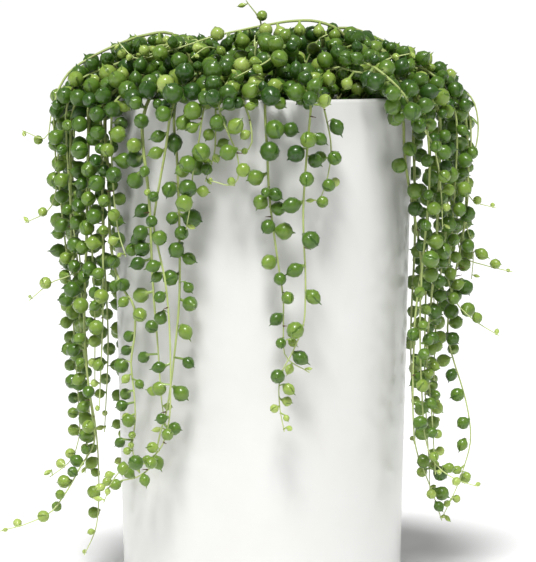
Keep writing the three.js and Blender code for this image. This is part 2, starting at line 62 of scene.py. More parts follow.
print("the frame holds", len(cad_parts), "nodes")

# %% [markdown]
# ## The camera
#
# The picture looks at the plant from the front, just above the height of the rim. A long lens from
# far away keeps the stems on both sides parallel, where a short one close by would splay them. The
# camera comes first, so that every piece can be judged in it from the start.

# %% Set up the camera
import math

import bmesh
import bpy
import numpy as np
from mathutils import Matrix, Vector
from mathutils.kdtree import KDTree

MM = 0.001
CAMERA_DISTANCE = 1.4
CAMERA_ELEVATION = math.radians(4.5)
CAMERA_TARGET = Vector((2.6, 0, 133)) * MM
VIEW_HEIGHT = 0.2473
SENSOR = 36

lens = bpy.data.cameras.new("portrait_lens")
lens.sensor_width = SENSOR
lens.lens = SENSOR * CAMERA_DISTANCE / VIEW_HEIGHT
camera = bpy.data.objects.new("camera", lens)
bpy.context.scene.collection.objects.link(camera)
back = Vector((0, -math.cos(CAMERA_ELEVATION), math.sin(CAMERA_ELEVATION)))
camera.location = CAMERA_TARGET + back * CAMERA_DISTANCE
camera.rotation_euler = (-back).to_track_quat("-Z", "Y").to_euler()
bpy.context.scene.camera = camera
print(f"the lens is {lens.lens:.0f} mm long")

# %% [markdown]
# ## Small helpers
#
# An operator acts on everything that is selected, so a helper selects one thing and nothing else.
# A second one picks faces or points in edit mode by a test on their place, as a hand would click
# them. Random choices come from a seeded draw, so that the plant grows the same way on every run.

# %% Define the helpers
def select_only(*objects):
    bpy.ops.object.select_all(action="DESELECT")
    for one in objects:
        one.select_set(True)
    bpy.context.view_layer.objects.active = objects[0]


def named(name):
    piece = bpy.context.object
    piece.name = piece.data.name = name
    return piece


def pick(piece, test, kind="FACE"):
    """Selects the faces or points in edit mode whose middle passes the test, and counts them."""
    bpy.ops.mesh.select_mode(type=kind)
    bpy.ops.mesh.select_all(action="DESELECT")
    cage = bmesh.from_edit_mesh(piece.data)
    parts = cage.faces if kind == "FACE" else cage.verts
    for part in parts:
        part.select_set(test(part.calc_center_median() if kind == "FACE" else part.co))
    cage.select_flush_mode()
    bmesh.update_edit_mesh(piece.data)
    return sum(part.select for part in parts)


def apply_all(piece):
    select_only(piece)
    for modifier in list(piece.modifiers):
        bpy.ops.object.modifier_apply(modifier=modifier.name)


class Draws:
    """Seeded draws: the same numbers in the same order on every run."""

    def __init__(self, seed):
        self.state = seed

    def __call__(self, low, high):
        self.state = (self.state * 1664525 + 1013904223) % 2**32
        return low + (high - low) * self.state / 2**32


print("helpers ready")

# %% [markdown]
# ## The pot
#
# The pot is a tall, plain, slightly tapered cylinder with a thin wall. A lathed profile would do, but
# a truncated cone gets there in three moves: inset its top face by the wall, push that face down to
# the floor and narrow it to follow the taper. A bevel then rounds the rim and the foot, because no
# fired pot has a knife edge.

# %% Model the pot
POT_HEIGHT = 214
RIM_RADIUS = 66
FOOT_RADIUS = 61
WALL = 5
FLOOR = 8
EDGE = 1.4
SOIL_BELOW_RIM = 12
SOIL_TOP = POT_HEIGHT - SOIL_BELOW_RIM
POT_SIDES = 96


def model_pot():
    bpy.ops.mesh.primitive_cone_add(
        vertices=POT_SIDES, radius1=FOOT_RADIUS * MM, radius2=RIM_RADIUS * MM,
        depth=POT_HEIGHT * MM, location=(0, 0, POT_HEIGHT / 2 * MM),
    )
    pot = named("ceramic_pot")
    bpy.ops.object.transform_apply(location=True)
    bpy.ops.object.mode_set(mode="EDIT")
    pick(pot, lambda at: at.z > (POT_HEIGHT - 1) * MM)
    bpy.ops.mesh.inset(thickness=WALL * MM)
    down = (0, 0, (FLOOR - POT_HEIGHT) * MM)
    bpy.ops.mesh.extrude_region_move(TRANSFORM_OT_translate={"value": down})
    narrow = (FOOT_RADIUS - WALL) / (RIM_RADIUS - WALL)
    bpy.ops.transform.resize(value=(narrow, narrow, 1))
    bpy.ops.object.mode_set(mode="OBJECT")
    rim = pot.modifiers.new("rounded_edges", "BEVEL")
    rim.width = EDGE * MM
    rim.segments = 4
    rim.limit_method = "ANGLE"
    rim.angle_limit = math.radians(40)
    apply_all(pot)
    bpy.ops.object.shade_smooth_by_angle(angle=math.radians(30))
    return pot


pot = model_pot()
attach(pot, "root")
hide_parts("pot")
print("the pot has", len(pot.data.polygons), "faces")

# %% [markdown]
# ## One effect for several finishes
#
# Nothing on a plant or a pot is one even colour. The same soft mottling shows at other sizes on the
# leaves, the stems, the glaze and the soil, so it is one node group with a size and a strength. The
# group puts out a plain value, and each material decides what that value does.

# %% Build the mottling group
def build_mottling():
    group = bpy.data.node_groups.new("mottling", "ShaderNodeTree")
    group.interface.new_socket("Size", in_out="INPUT", socket_type="NodeSocketFloat")
    group.interface.new_socket("Strength", in_out="INPUT", socket_type="NodeSocketFloat")
    group.interface.new_socket("Value", in_out="OUTPUT", socket_type="NodeSocketFloat")
    entry = group.nodes.new("NodeGroupInput")
    exit_ = group.nodes.new("NodeGroupOutput")
    place = group.nodes.new("ShaderNodeTexCoord")
    noise = group.nodes.new("ShaderNodeTexNoise")
    noise.inputs["Detail"].default_value = 3
    noise.inputs["Roughness"].default_value = 0.6
    centred = group.nodes.new("ShaderNodeMath")
    centred.operation = "SUBTRACT"
    centred.inputs[1].default_value = 0.5
    scaled = group.nodes.new("ShaderNodeMath")
    scaled.operation = "MULTIPLY"
    join = group.links.new
    join(place.outputs["Object"], noise.inputs["Vector"])
    join(entry.outputs["Size"], noise.inputs["Scale"])
    join(noise.outputs["Fac"], centred.inputs[0])
    join(centred.outputs[0], scaled.inputs[0])
    join(entry.outputs["Strength"], scaled.inputs[1])
    join(scaled.outputs[0], exit_.inputs["Value"])
    return group


MOTTLING = build_mottling()


class Finish:
    """A material under construction: its nodes, its links and its Principled shader."""

    def __init__(self, name, **sockets):
        self.material = bpy.data.materials.new(name)
        self.material.use_nodes = True
        self.nodes = self.material.node_tree.nodes
        self.join = self.material.node_tree.links.new
        self.shader = self.nodes["Principled BSDF"]
        for socket, value in sockets.items():
            self.shader.inputs[socket.replace("_", " ")].default_value = value

    def mottling(self, size, strength):
        node = self.nodes.new("ShaderNodeGroup")
        node.node_tree = MOTTLING
        node.inputs["Size"].default_value = size
        node.inputs["Strength"].default_value = strength
        return node.outputs["Value"]

    def math(self, operation, first, second=0.0, third=0.0, clamp=False):
        node = self.nodes.new("ShaderNodeMath")
        node.operation = operation
        node.use_clamp = clamp
        for socket, value in zip(node.inputs, (first, second, third)):
            if isinstance(value, (int, float)):
                socket.default_value = value
            else:
                self.join(value, socket)
        return node.outputs[0]

    def ramp(self, value, *stops):
        """Colours along a value from 0 to 1: rows of place and colour."""
        node = self.nodes.new("ShaderNodeValToRGB")
        bar = node.color_ramp.elements
        while len(bar) < len(stops):
            bar.new(0.5)
        for stop, (place, colour) in zip(bar, stops):
            stop.position = place
            stop.color = (*colour, 1)
        self.join(value, node.inputs["Fac"])
        return node.outputs["Color"]

    def blend(self, share, first, second):
        node = self.nodes.new("ShaderNodeMix")
        node.data_type = "RGBA"
        self.join(share, node.inputs["Factor"])
        for socket, value in ((node.inputs[6], first), (node.inputs[7], second)):
            if isinstance(value, tuple):
                socket.default_value = (*value, 1)
            else:
                self.join(value, socket)
        return node.outputs[2]

    def attribute(self, name):
        node = self.nodes.new("ShaderNodeAttribute")
        node.attribute_name = name
        return node.outputs["Fac"]

    def bump(self, height, distance, strength=1.0):
        node = self.nodes.new("ShaderNodeBump")
        node.inputs["Distance"].default_value = distance
        node.inputs["Strength"].default_value = strength
        self.join(height, node.inputs["Height"])
        self.join(node.outputs["Normal"], self.shader.inputs["Normal"])


print("mottling ready, with", len(MOTTLING.nodes), "nodes")

# %% [markdown]
# ## The glaze
#
# The pot wears a plain white glaze. Real glaze pools and thins a little, which shows less as colour
# than as a slow change in gloss and a very shallow wave in the surface, so both come from the
# mottling at a large size.

# %% Glaze the pot
WHITE_GLAZE = (0.69, 0.69, 0.678)
CREAM_GLAZE = (0.64, 0.635, 0.615)


def white_glaze():
    glaze = Finish("white_glaze", Roughness=0.32, Coat_Weight=0.25, Coat_Roughness=0.12)
    pooling = glaze.math("ADD", glaze.mottling(28, 0.9), 0.5)
    glaze.join(glaze.ramp(pooling, (0.2, CREAM_GLAZE), (0.8, WHITE_GLAZE)), glaze.shader.inputs["Base Color"])
    gloss = glaze.math("ADD", glaze.mottling(60, 0.12), 0.32)
    glaze.join(gloss, glaze.shader.inputs["Roughness"])
    glaze.bump(glaze.mottling(45, 1.0), 0.0003)
    return glaze.material


pot.data.materials.append(white_glaze())
print("glazed the pot")

# %% [markdown]
# ## The soil
#
# Potting soil is a crumbly mix of peat, bark and white perlite. A disc that fills the pot gets a
# finely divided top, which a noise pushes up and down, and a few hundred loose crumbs lie on it. One
# crumb is modelled and then copied with another turn and size each time. The plant hides most of it,
# so the crumbs have few faces.

# %% Model the soil
SOIL_GAP = 0.3
SOIL_RADIUS = RIM_RADIUS - WALL - 2 * SOIL_GAP
SOIL_RINGS = 12
SOIL_ROUGHNESS = 1.6
CRUMBS = 260
CRUMB_SIZES = (0.7, 2.0)
PERLITE_SHARE = 0.14
SOIL_COLOURS = ((0.010, 0.006, 0.004), (0.045, 0.026, 0.015))
PERLITE_COLOUR = (0.62, 0.60, 0.55)
draw_soil = Draws(77)


def model_soil():
    low = FLOOR + SOIL_GAP
    foot = FOOT_RADIUS - WALL - 2 * SOIL_GAP
    bpy.ops.mesh.primitive_cone_add(
        vertices=64, radius1=foot * MM, radius2=SOIL_RADIUS * MM, depth=(SOIL_TOP - low) * MM,
        location=(0, 0, (SOIL_TOP + low) / 2 * MM),
    )
    soil = named("potting_soil_bed")
    bpy.ops.object.transform_apply(location=True)
    bpy.ops.object.mode_set(mode="EDIT")
    pick(soil, lambda at: at.z > (SOIL_TOP - 1) * MM)
    for _ in range(SOIL_RINGS):
        bpy.ops.mesh.inset(thickness=SOIL_RADIUS / (SOIL_RINGS + 1) * MM)
    bpy.ops.object.mode_set(mode="OBJECT")
    uneven = bpy.data.textures.new("uneven_soil", "CLOUDS")
    uneven.noise_scale = 6 * MM
    top = soil.vertex_groups.new(name="top")
    inside = [v.index for v in soil.data.vertices if v.co.z > (SOIL_TOP - 1) * MM]
    top.add(inside, 1.0, "REPLACE")
    rough = soil.modifiers.new("uneven", "DISPLACE")
    rough.texture = uneven
    rough.direction = "Z"
    rough.strength = 2 * SOIL_ROUGHNESS * MM
    rough.mid_level = 0.55
    rough.vertex_group = "top"
    apply_all(soil)
    bpy.ops.object.shade_smooth_by_angle(angle=math.radians(40))
    return soil


def model_crumb():
    bpy.ops.mesh.primitive_ico_sphere_add(subdivisions=1, radius=1)
    crumb = named("crumb")
    bpy.ops.object.mode_set(mode="EDIT")
    pick(crumb, lambda at: at.z > 0.7, "VERT")
    bpy.ops.transform.translate(value=(0.2, 0.1, -0.3))
    bpy.ops.object.mode_set(mode="OBJECT")
    return crumb


def scatter_crumbs(soil, crumb):
    copies = []
    for _ in range(CRUMBS):
        out = SOIL_RADIUS * 0.97 * math.sqrt(draw_soil(0, 1))
        turn = draw_soil(0, 2 * math.pi)
        size = draw_soil(*CRUMB_SIZES) * MM
        at = Vector((out * math.cos(turn), out * math.sin(turn), SOIL_TOP + 0.4)) * MM
        place = Matrix.Translation(at)
        spin = Matrix.Rotation(draw_soil(0, math.pi), 4, Vector((draw_soil(-1, 1), draw_soil(-1, 1), 1)))
        copy = crumb.copy()
        copy.data = crumb.data.copy()
        copy.data.transform(place @ spin @ Matrix.Diagonal((size, size, size * 0.7, 1)))
        copy.data.materials.append(None)
        copy.data.materials.append(None)
        white = 1 if draw_soil(0, 1) < PERLITE_SHARE else 0
        copy.data.polygons.foreach_set("material_index", [white] * len(copy.data.polygons))
        bpy.context.scene.collection.objects.link(copy)
        copies.append(copy)
    bpy.data.objects.remove(crumb)
    soil.data.materials.append(None)
    soil.data.materials.append(None)
    select_only(soil, *copies)
    bpy.ops.object.join()


def soil_finish():
    peat = Finish("peat_and_bark", Roughness=0.92, Specular_IOR_Level=0.25)
    crumbs = peat.math("ADD", peat.mottling(420, 1.6), 0.5)
    brown = peat.ramp(crumbs, (0.2, SOIL_COLOURS[0]), (0.8, SOIL_COLOURS[1]))
    peat.join(brown, peat.shader.inputs["Base Color"])
    peat.bump(peat.mottling(700, 1.0), 0.0012)
    return peat.material


def perlite_finish():
    perlite = Finish("perlite", Base_Color=(*PERLITE_COLOUR, 1), Roughness=0.9)
    perlite.bump(perlite.mottling(1500, 1.0), 0.0004)
    return perlite.material


soil = model_soil()
scatter_crumbs(soil, model_crumb())
soil.data.materials[0] = soil_finish()
soil.data.materials[1] = perlite_finish()
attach(soil, "root")
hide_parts("potting_soil")
print("the soil has", len(soil.data.polygons), "faces and", CRUMBS, "crumbs")

# %% [markdown]
# ## The stems that hang
#
# Each stem follows a listed route. A row gives how far below the rim it is, how far out from the middle of
# the pot and how far it has drifted along the rim. From its root in the soil, a stem arches over the rim
# first: the ones that hang farthest out root nearest to the middle and arch highest, so the arches lie over
# each other as they do in a real crown.
#
# Where the leaves show one by one, they are listed too: how far below the rim, how far to the side
# of the stem, and the radius. The stem at the far right is seen from its side, so its list counts
# away from the pot instead. The dense curtains at the sides get their leaves by rule.

# %% List the stems on the left
def outward(rows):
    return [(drop, out, 0) for drop, out in rows]


def sideways(out, rows):
    return [(drop, out, shift) for drop, shift in rows]


LEFT_STEMS = {
    "left_outer": (180, outward([(6, 88), (37, 89), (89, 84), (135, 81), (151, 81), (161, 85), (168, 94)])),
    "left_longest": (188, outward([(6, 83), (56, 84), (92, 81), (124, 77), (151, 73), (185, 73), (201, 79)])),
    "left_sweeping": (196, outward([
        (5, 77), (61, 79), (107, 80), (149, 76), (160, 82), (180, 96), (187, 118)])),
    "left_sprig_high": (176, outward([(2, 94), (11, 93), (18, 95), (20, 101), (15, 106)])),
    "left_sprig_middle": (184, outward([
        (-28, 42), (-25, 57), (-17, 75), (-6, 88), (12, 91), (40, 90), (51, 95), (55, 104)])),
    "left_sprig_low": (191, outward([(3, 86), (55, 84), (73, 81), (80, 93), (88, 103)])),
    "left_short_outer": (200, outward([(5, 79), (43, 79), (87, 77), (124, 77)])),
    "left_short_inner": (206, outward([(5, 76), (44, 76), (89, 76), (134, 78)])),
    "left_front_long": (200, sideways(72, [
        (9, 0), (37, 5), (64, 7), (80, 17), (88, 26), (96, 28), (110, 24), (132, 27), (152, 26),
        (159, 32)])),
    "left_front_short": (210, sideways(74, [(8, 0), (37, 1), (58, 6), (67, 11)])),
    "left_back_outer": (171, outward([(6, 83), (50, 85), (100, 80), (140, 78), (168, 80)])),
    "left_back_high": (163, outward([(6, 89), (45, 88), (90, 84), (118, 85)])),
    "left_back_inner": (156, outward([(6, 76), (60, 78), (110, 76), (152, 78)])),
}
print(len(LEFT_STEMS), "stems on the left")

# %% List the stems in front
FRONT_STEMS = {
    "front_far_left": (227, sideways(72, [(5, 0), (15, -2), (42, 2), (77, 4), (107, 7), (142, 10)])),
    "front_left_sweeping": (242, sideways(80, [
        (4, 0), (21, -3), (53, -9), (71, -4), (100, -1), (137, -2), (152, -12), (157, -29), (163, -35),
        (173, -42)])),
    "front_left_long": (239, sideways(72, [
        (4, 0), (28, 2), (66, 3), (93, 2), (132, -4), (156, -13), (164, -33), (170, -57)])),
    "front_left_short": (252, sideways(78, [(4, 0), (16, -2), (31, -5), (44, -6), (54, -8)])),
    "front_left_stub": (254, sideways(72, [(5, 0), (18, 1), (34, -4)])),
    "front_curl_outer": (257, sideways(80, [(2, 0), (13, 4), (23, 8), (33, 9), (36, 2), (33, -4)])),
    "front_curl_inner": (264, sideways(74, [(3, 0), (12, 4), (19, 4), (21, -3), (20, -8)])),
    "front_middle": (271, sideways(72, [
        (4, 0), (21, 1), (41, 2), (64, 5), (86, 8), (104, 8), (113, 13), (114, 19)])),
    "front_middle_long": (285, sideways(78, [
        (3, 0), (44, -3), (78, -2), (98, -4), (112, -12), (128, -13), (138, -11)])),
    "front_right_stub": (291, sideways(73, [(4, 0), (20, 3), (34, 1), (44, -3)])),
    "front_right_slanting": (310, sideways(85, [(-8, 0), (2, 9), (12, 20), (24, 31), (40, 36), (56, 38)])),
}
print(len(FRONT_STEMS), "stems in front")

# %% List the stems on the right
RIGHT_STEMS = {
    "right_front_long": (326, [
        (6, 72, 0), (28, 72, 3), (50, 72, 12), (74, 72, 22), (91, 72, 14), (124, 72, 11), (147, 72, 13),
        (158, 72, 21), (169, 76, 25), (180, 79, 26), (184, 81, 27)]),
    "right_front_outer": (332, outward([
        (9, 79), (35, 81), (86, 77), (129, 78), (151, 81), (161, 90), (165, 104)])),
    "right_front_inner": (340, outward([(9, 81), (61, 80), (109, 76), (133, 78), (163, 80)])),
    "right_inner": (346, outward([(7, 75), (60, 74), (120, 73), (172, 76)])),
    "right_sprig_low": (348, outward([(10, 86), (62, 84), (82, 83), (94, 91), (103, 105)])),
    "right_longest": (354, outward([
        (3, 88), (45, 90), (88, 83), (106, 82), (130, 89), (150, 92), (171, 86), (184, 80)])),
    "right_sprig_bent": (358, outward([(10, 91), (36, 90), (52, 89), (70, 93), (80, 92)])),
    "right_sprig_high": (2, outward([(4, 94), (22, 94), (38, 89), (48, 95), (49, 103)])),
    "right_sprig_middle": (7, outward([
        (-31, 32), (-25, 52), (-11, 77), (8, 89), (55, 87), (70, 89), (75, 100), (78, 112)])),
    "right_back_outer": (14, outward([(6, 83), (50, 85), (100, 80), (146, 79)])),
    "right_back_high": (23, outward([(6, 89), (45, 87), (90, 84), (112, 86)])),
    "right_back_inner": (28, outward([(6, 76), (60, 78), (110, 76), (158, 78)])),
}
print(len(RIGHT_STEMS), "stems on the right")

# %% List the leaves that show one by one
LEAVES = {
    "left_front_long": [
        (101, -3.5, 2.5), (107, -4.3, 2.5), (114, -7, 3), (119, -1.2, 2.1), (121, 4.4, 2.3), (126, -5.8, 2.5),
        (131, -7, 2.5), (136, -6.1, 2.1), (147, -8.8, 2.5), (147, 1.5, 1.5)],
    "front_far_left": [
        (19, -1.8, 3), (25, -5.9, 3.4), (30, 1.9, 2.5), (34, -7, 3.6), (39, 1.5, 1.7), (47, -4.4, 3.4),
        (59, -7.3, 3.4), (56, -2.1, 3), (63, -2.6, 3), (64, -12, 2.5), (69, -2.8, 3.2), (83, -7.3, 3.7),
        (95, 0.8, 2.8), (109, -8.3, 2.8)],
    "front_left_sweeping": [
        (5, -1, 3.4), (15, -4.6, 3), (22, -3.3, 3), (40, 0.4, 2.3), (50, 1.3, 2.5), (57, 3.5, 3.2),
        (69, -2.7, 3), (74, -4.4, 2.5), (82, -1.6, 2.8), (91, -3.9, 2.8), (112, -5.8, 2.8), (121, -5.6, 2.8)],
    "front_left_long": [
        (18, 0.9, 4), (37, -1.9, 3.6), (49, -1.5, 2.5), (49, 6, 4), (55, 2.8, 3), (62, 1, 3.4), (66, 4.6, 3),
        (74, -2.8, 3.4), (78, 4.2, 2.3), (85, 5.4, 3.6), (97, 4.3, 3.4), (110, 7.4, 2.8), (123, 5.5, 3.4),
        (138, 6.3, 2.8)],
    "front_left_short": [
        (4, -4, 3.6), (11, -3, 2.5), (9, -8.4, 3.2), (21, 3.2, 3.6), (26, -0.7, 3.4), (29, -4.8, 2.8),
        (36, 0.3, 3.8), (42, 0.8, 3.6)],
    "front_left_stub": [(9, 2.2, 3.4), (14, -2.2, 2.3), (24, 1.9, 1.9), (28, -0.3, 2.5)],
    "front_middle": [
        (12, 3.6, 3.8), (12, 10.1, 3.2), (21, 0.9, 3.8), (32, -5, 3.4), (39, 2.4, 3.2), (38, -1.7, 2.3),
        (42, -3.8, 3.2), (45, 3, 3), (52, -2.3, 3.4), (54, 4.1, 3.6), (67, -4, 3.6), (74, -0.6, 3),
        (82, 1.5, 3), (91, -3.3, 3), (101, -1.4, 2.5)],
    "front_middle_long": [
        (16, -1, 3.4), (16, 5.2, 3), (22, -4.7, 3.4), (25, 3.8, 2.8), (32, -0.3, 3.4), (43, -5.1, 3.8),
        (57, 1.7, 3.8), (70, -4.5, 3.4), (81, 2.4, 3.4), (95, -3.5, 3.4), (107, 4.7, 3.4), (114, -1.6, 3),
        (125, 3.1, 2.1), (132, 1.9, 1.5)],
    "front_right_stub": [(11, 2.3, 3.4), (24, -0.2, 3), (35, -0.2, 2.8), (42, 0.1, 2.5)],
    "right_front_long": [
        (8, -5.8, 3.4), (21, -2, 3.4), (28, -5.6, 3.3), (39, -2.2, 3.2), (47, -3.2, 3), (58, 0.5, 2.8),
        (63, -2.9, 2.6), (71, 2.6, 3.2), (81, 0.8, 2.8), (92, 2.4, 3.2), (101, -3, 2.9), (113, 0.3, 2.4),
        (120, 2.6, 3.2), (133, 2, 3), (144, 2.5, 3.5), (157, -3.2, 3.2), (163, 2.6, 3.3),
        (172, 2.2, 3.1), (177, -3, 2.5)],
}
EDGE_LEAVES = {
    "right_longest": [
        (121, -2.9, 2.9), (130, -2.9, 2.8), (142, -2.6, 2.8), (152, -3.4, 2.7), (163, -2.6, 2.2),
        (166, 2.7, 2), (178, -1, 1.7)],
}
listed = [row for rows in (*LEAVES.values(), *EDGE_LEAVES.values()) for row in rows]
print(len(listed), "leaves listed by hand")

# %% [markdown]
# ## The stems behind and on the crown
#
# Nobody chose the stems at the back one by one, so a rule with seeded draws makes them. On the crown,
# three stems that show are listed, and eight runners spread over the mound between the others.

# %% Make the back stems and list the crown
draw_stem = Draws(20413)
BACK_STEMS = 10
BACK_FROM = 42
BACK_TO = 145
BACK_HANGS = (74, 83, 90)
CROWN_RUNNERS = 8
RUNNER_REACH = (38, 56, 72)
MOUND_HEIGHT = 27
MOUND_RADIUS = 92
GOLDEN_ANGLE = math.pi * (3 - math.sqrt(5))


def around(radius, azimuth, height):
    return np.array([radius * math.cos(azimuth), radius * math.sin(azimuth), height])


def back_stems():
    stems = {}
    for i in range(BACK_STEMS):
        out = BACK_HANGS[i % len(BACK_HANGS)]
        drop = draw_stem(95, 180)
        sway = draw_stem(-9, 9)
        route = [(6, out, 0), (drop * 0.35, out + 1, sway * 0.3), (drop * 0.7, out - 3, sway)]
        route.append((drop, out, sway * 0.6))
        azimuth = BACK_FROM + (BACK_TO - BACK_FROM) * i / (BACK_STEMS - 1) + draw_stem(-3, 3)
        stems[f"back_{i + 1}"] = (azimuth, route)
    return stems


def crown_runners():
    stems = {}
    for i in range(CROWN_RUNNERS):
        azimuth = i * GOLDEN_ANGLE + draw_stem(-0.2, 0.2)
        start = draw_stem(6, 26)
        reach = RUNNER_REACH[i % len(RUNNER_REACH)] + draw_stem(-4, 4)
        bend = draw_stem(-0.5, 0.5)
        route = []
        for share in (0.35, 0.7, 1):
            out = start + share * (reach - start)
            height = MOUND_HEIGHT * (1 - (out / MOUND_RADIUS) ** 2)
            route.append(tuple(around(out, azimuth + bend * share * share, height)))
        stems[f"crown_runner_{i + 1}"] = (tuple(around(start, azimuth, 0)[:2]), route)
    return stems


HANGING_STEMS = {**LEFT_STEMS, **FRONT_STEMS, **RIGHT_STEMS, **back_stems()}
CROWN_STEMS = {
    "crown_top_sprig": ((-4, 3), [(-3, 0, 20), (0, -3, 31), (-5, -4, 36), (-7, -5, 42)]),
    "crown_across": ((40, -8), [
        (39, -12, 20), (30, -16, 31), (14, -20, 33), (-4, -25, 30), (-22, -29, 26), (-40, -27, 20),
        (-56, -22, 17), (-62, -18, 24)]),
    "crown_front_right": ((24, -34), [(28, -42, 14), (36, -48, 11), (50, -46, 15), (64, -40, 19)]),
    **crown_runners(),
}
print(len(HANGING_STEMS), "stems hang and", len(CROWN_STEMS), "stay on the crown")

# %% [markdown]
# ## From rows to routes
#
# A few points become a smooth route with a Catmull-Rom curve, which passes through every point that
# it is given. Measured along its length, it gives points at equal steps.

# %% Turn rows into smooth routes
ROOT_DEPTH = 6
ROOT_STRAIGHT = 7
NEAREST_HANG = 72
FARTHEST_HANG = 91
ROOT_RADIUS = 50
ROOT_RADIUS_STEP = 1.6
ARCH_HEIGHT = 9
ARCH_HEIGHT_STEP = 0.95
ARCH_ROOM = 3
ARCH_SHARES = (0.3, 0.6, 0.85)
STEM_STEP = 12
CURVE_STEPS = np.linspace(0, 1, 201)


def rooted_at(x, y):
    return [np.array([x, y, SOIL_TOP + height]) for height in (-ROOT_DEPTH, 0, ROOT_STRAIGHT)]


def hanging_points(azimuth, route):
    turn = math.radians(azimuth)
    first_drop, first_out = route[0][:2]
    hang = min(FARTHEST_HANG, max(out for _, out, _ in route[:4]))
    root = ROOT_RADIUS - ROOT_RADIUS_STEP * (hang - NEAREST_HANG)
    arch = ARCH_HEIGHT + ARCH_HEIGHT_STEP * (hang - NEAREST_HANG)
    points = rooted_at(*around(root, turn, 0)[:2])
    for share in (0.5,) if first_drop < 0 else ARCH_SHARES:
        out = root + share * (first_out - root)
        points.append(around(out, turn, POT_HEIGHT + arch * (1 - (out / (hang + ARCH_ROOM)) ** 2)))
    for drop, out, shift in route:
        points.append(around(out, turn + shift / out, POT_HEIGHT - drop))
    return np.array(points)


def crown_points(root, route):
    above = [np.array([x, y, POT_HEIGHT + height]) for x, y, height in route]
    return np.array(rooted_at(*root) + above, float)


def along_curve(points, places):
    """Points of the smooth curve through all the points, at places from 0 to 1 along it."""
    spans = len(points) - 1
    padded = np.array([2 * points[0] - points[1], *points, 2 * points[-1] - points[-2]])
    at = places * spans
    i = np.minimum(at.astype(int), spans - 1)
    w = (at - i)[:, None]
    before, start, end, after = (padded[i + k] for k in range(4))
    leaving = (end - before) / 2
    arriving = (after - start) / 2
    square = (3 * (end - start) - 2 * leaving - arriving) * w**2
    return start + leaving * w + square + (2 * (start - end) + leaving + arriving) * w**3


def spaced(points, count):
    """count + 1 points of that curve, at equal steps along its length."""
    steps = np.linalg.norm(np.diff(along_curve(points, CURVE_STEPS), axis=0), axis=1)
    length = np.append(0, np.cumsum(steps))
    places = np.interp(np.linspace(0, length[-1], count + 1), length, CURVE_STEPS)
    return along_curve(points, places)


def curve_length(points):
    return np.linalg.norm(np.diff(along_curve(points, CURVE_STEPS), axis=0), axis=1).sum()


ROUTES = {name: hanging_points(*rows) for name, rows in HANGING_STEMS.items()}
ROUTES.update({name: crown_points(*rows) for name, rows in CROWN_STEMS.items()})
print("the longest route is", round(max(curve_length(points) for points in ROUTES.values())), "mm long")

# %% [markdown]
# ## Bending the stems clear
#
# The drawn routes run through each other here and there. Real stems push each other aside, so the routes do
# too: in every round, two stretches that lie too close move apart a little, and the curve is drawn again
# through the moved points. After some forty rounds they all have room.

# %% Bend the stems clear of each other
ROOT_SPACING = 5
STEM_SPACING = 3.3
STEM_CLEAR = 1.6
BEND_ROUNDS = 40
BEND_SHARE = 0.4
PUSH_SPREAD = 0.3


def spread_roots(routes):
    for _ in range(BEND_ROUNDS):
        for a in range(len(routes)):
            for b in range(a + 1, len(routes)):
                apart = routes[a][0] - routes[b][0]
                gap = math.sqrt(apart @ apart)
                if gap < ROOT_SPACING:
                    apart = apart * (ROOT_SPACING - gap) / 2 / max(gap, 0.01)
                    routes[a][:3] += apart
                    routes[b][:3] -= apart


def closest(start_a, end_a, start_b, end_b):
    """For pairs of straight stretches: how far along each they are closest, and the way between."""
    along_a, along_b, between = end_a - start_a, end_b - start_b, start_a - start_b
    aa, bb, ab = ((p * q).sum(1) for p, q in ((along_a, along_a), (along_b, along_b), (along_a, along_b)))
    ca, cb = (along_a * between).sum(1), (along_b * between).sum(1)
    spread = aa * bb - ab * ab
    share_a = np.clip((ab * cb - ca * bb) / np.where(spread > 1e-9, spread, 1), 0, 1)
    share_a = np.where(spread > 1e-9, share_a, 0.5)
    share_b = np.clip((ab * share_a + cb) / bb, 0, 1)
    share_a = np.clip((ab * share_b - ca) / aa, 0, 1)
    way = start_a + along_a * share_a[:, None] - start_b - along_b * share_b[:, None]
    return share_a, share_b, way, np.linalg.norm(way, axis=1)


def wall_gap(points):
    """How far points lie from the pot's wall, and how far outside or above it."""
    out = np.hypot(points[..., 0], points[..., 1])
    radial = out - np.clip(out, RIM_RADIUS - WALL, RIM_RADIUS)
    upright = points[..., 2] - np.minimum(POT_HEIGHT, points[..., 2])
    return np.hypot(radial, upright), out, upright


def kept_off_pot(points):
    gap, out, upright = wall_gap(points)
    outwards = points * [1, 1, 0] / np.maximum(out, 1e-9)[:, None]
    near = gap < STEM_CLEAR
    above = near & (upright > 0)
    outside = near & ~above & (out > RIM_RADIUS - WALL / 2)
    inside = near & ~above & ~outside
    points[above, 2] = POT_HEIGHT + STEM_CLEAR
    points[outside] += outwards[outside] * (RIM_RADIUS + STEM_CLEAR - out[outside])[:, None]
    points[inside] += outwards[inside] * (RIM_RADIUS - WALL - STEM_CLEAR - out[inside])[:, None]
    over_soil = np.hypot(points[:, 0], points[:, 1]) < RIM_RADIUS - WALL
    points[over_soil, 2] = np.maximum(points[over_soil, 2], SOIL_TOP + STEM_CLEAR)
    return points


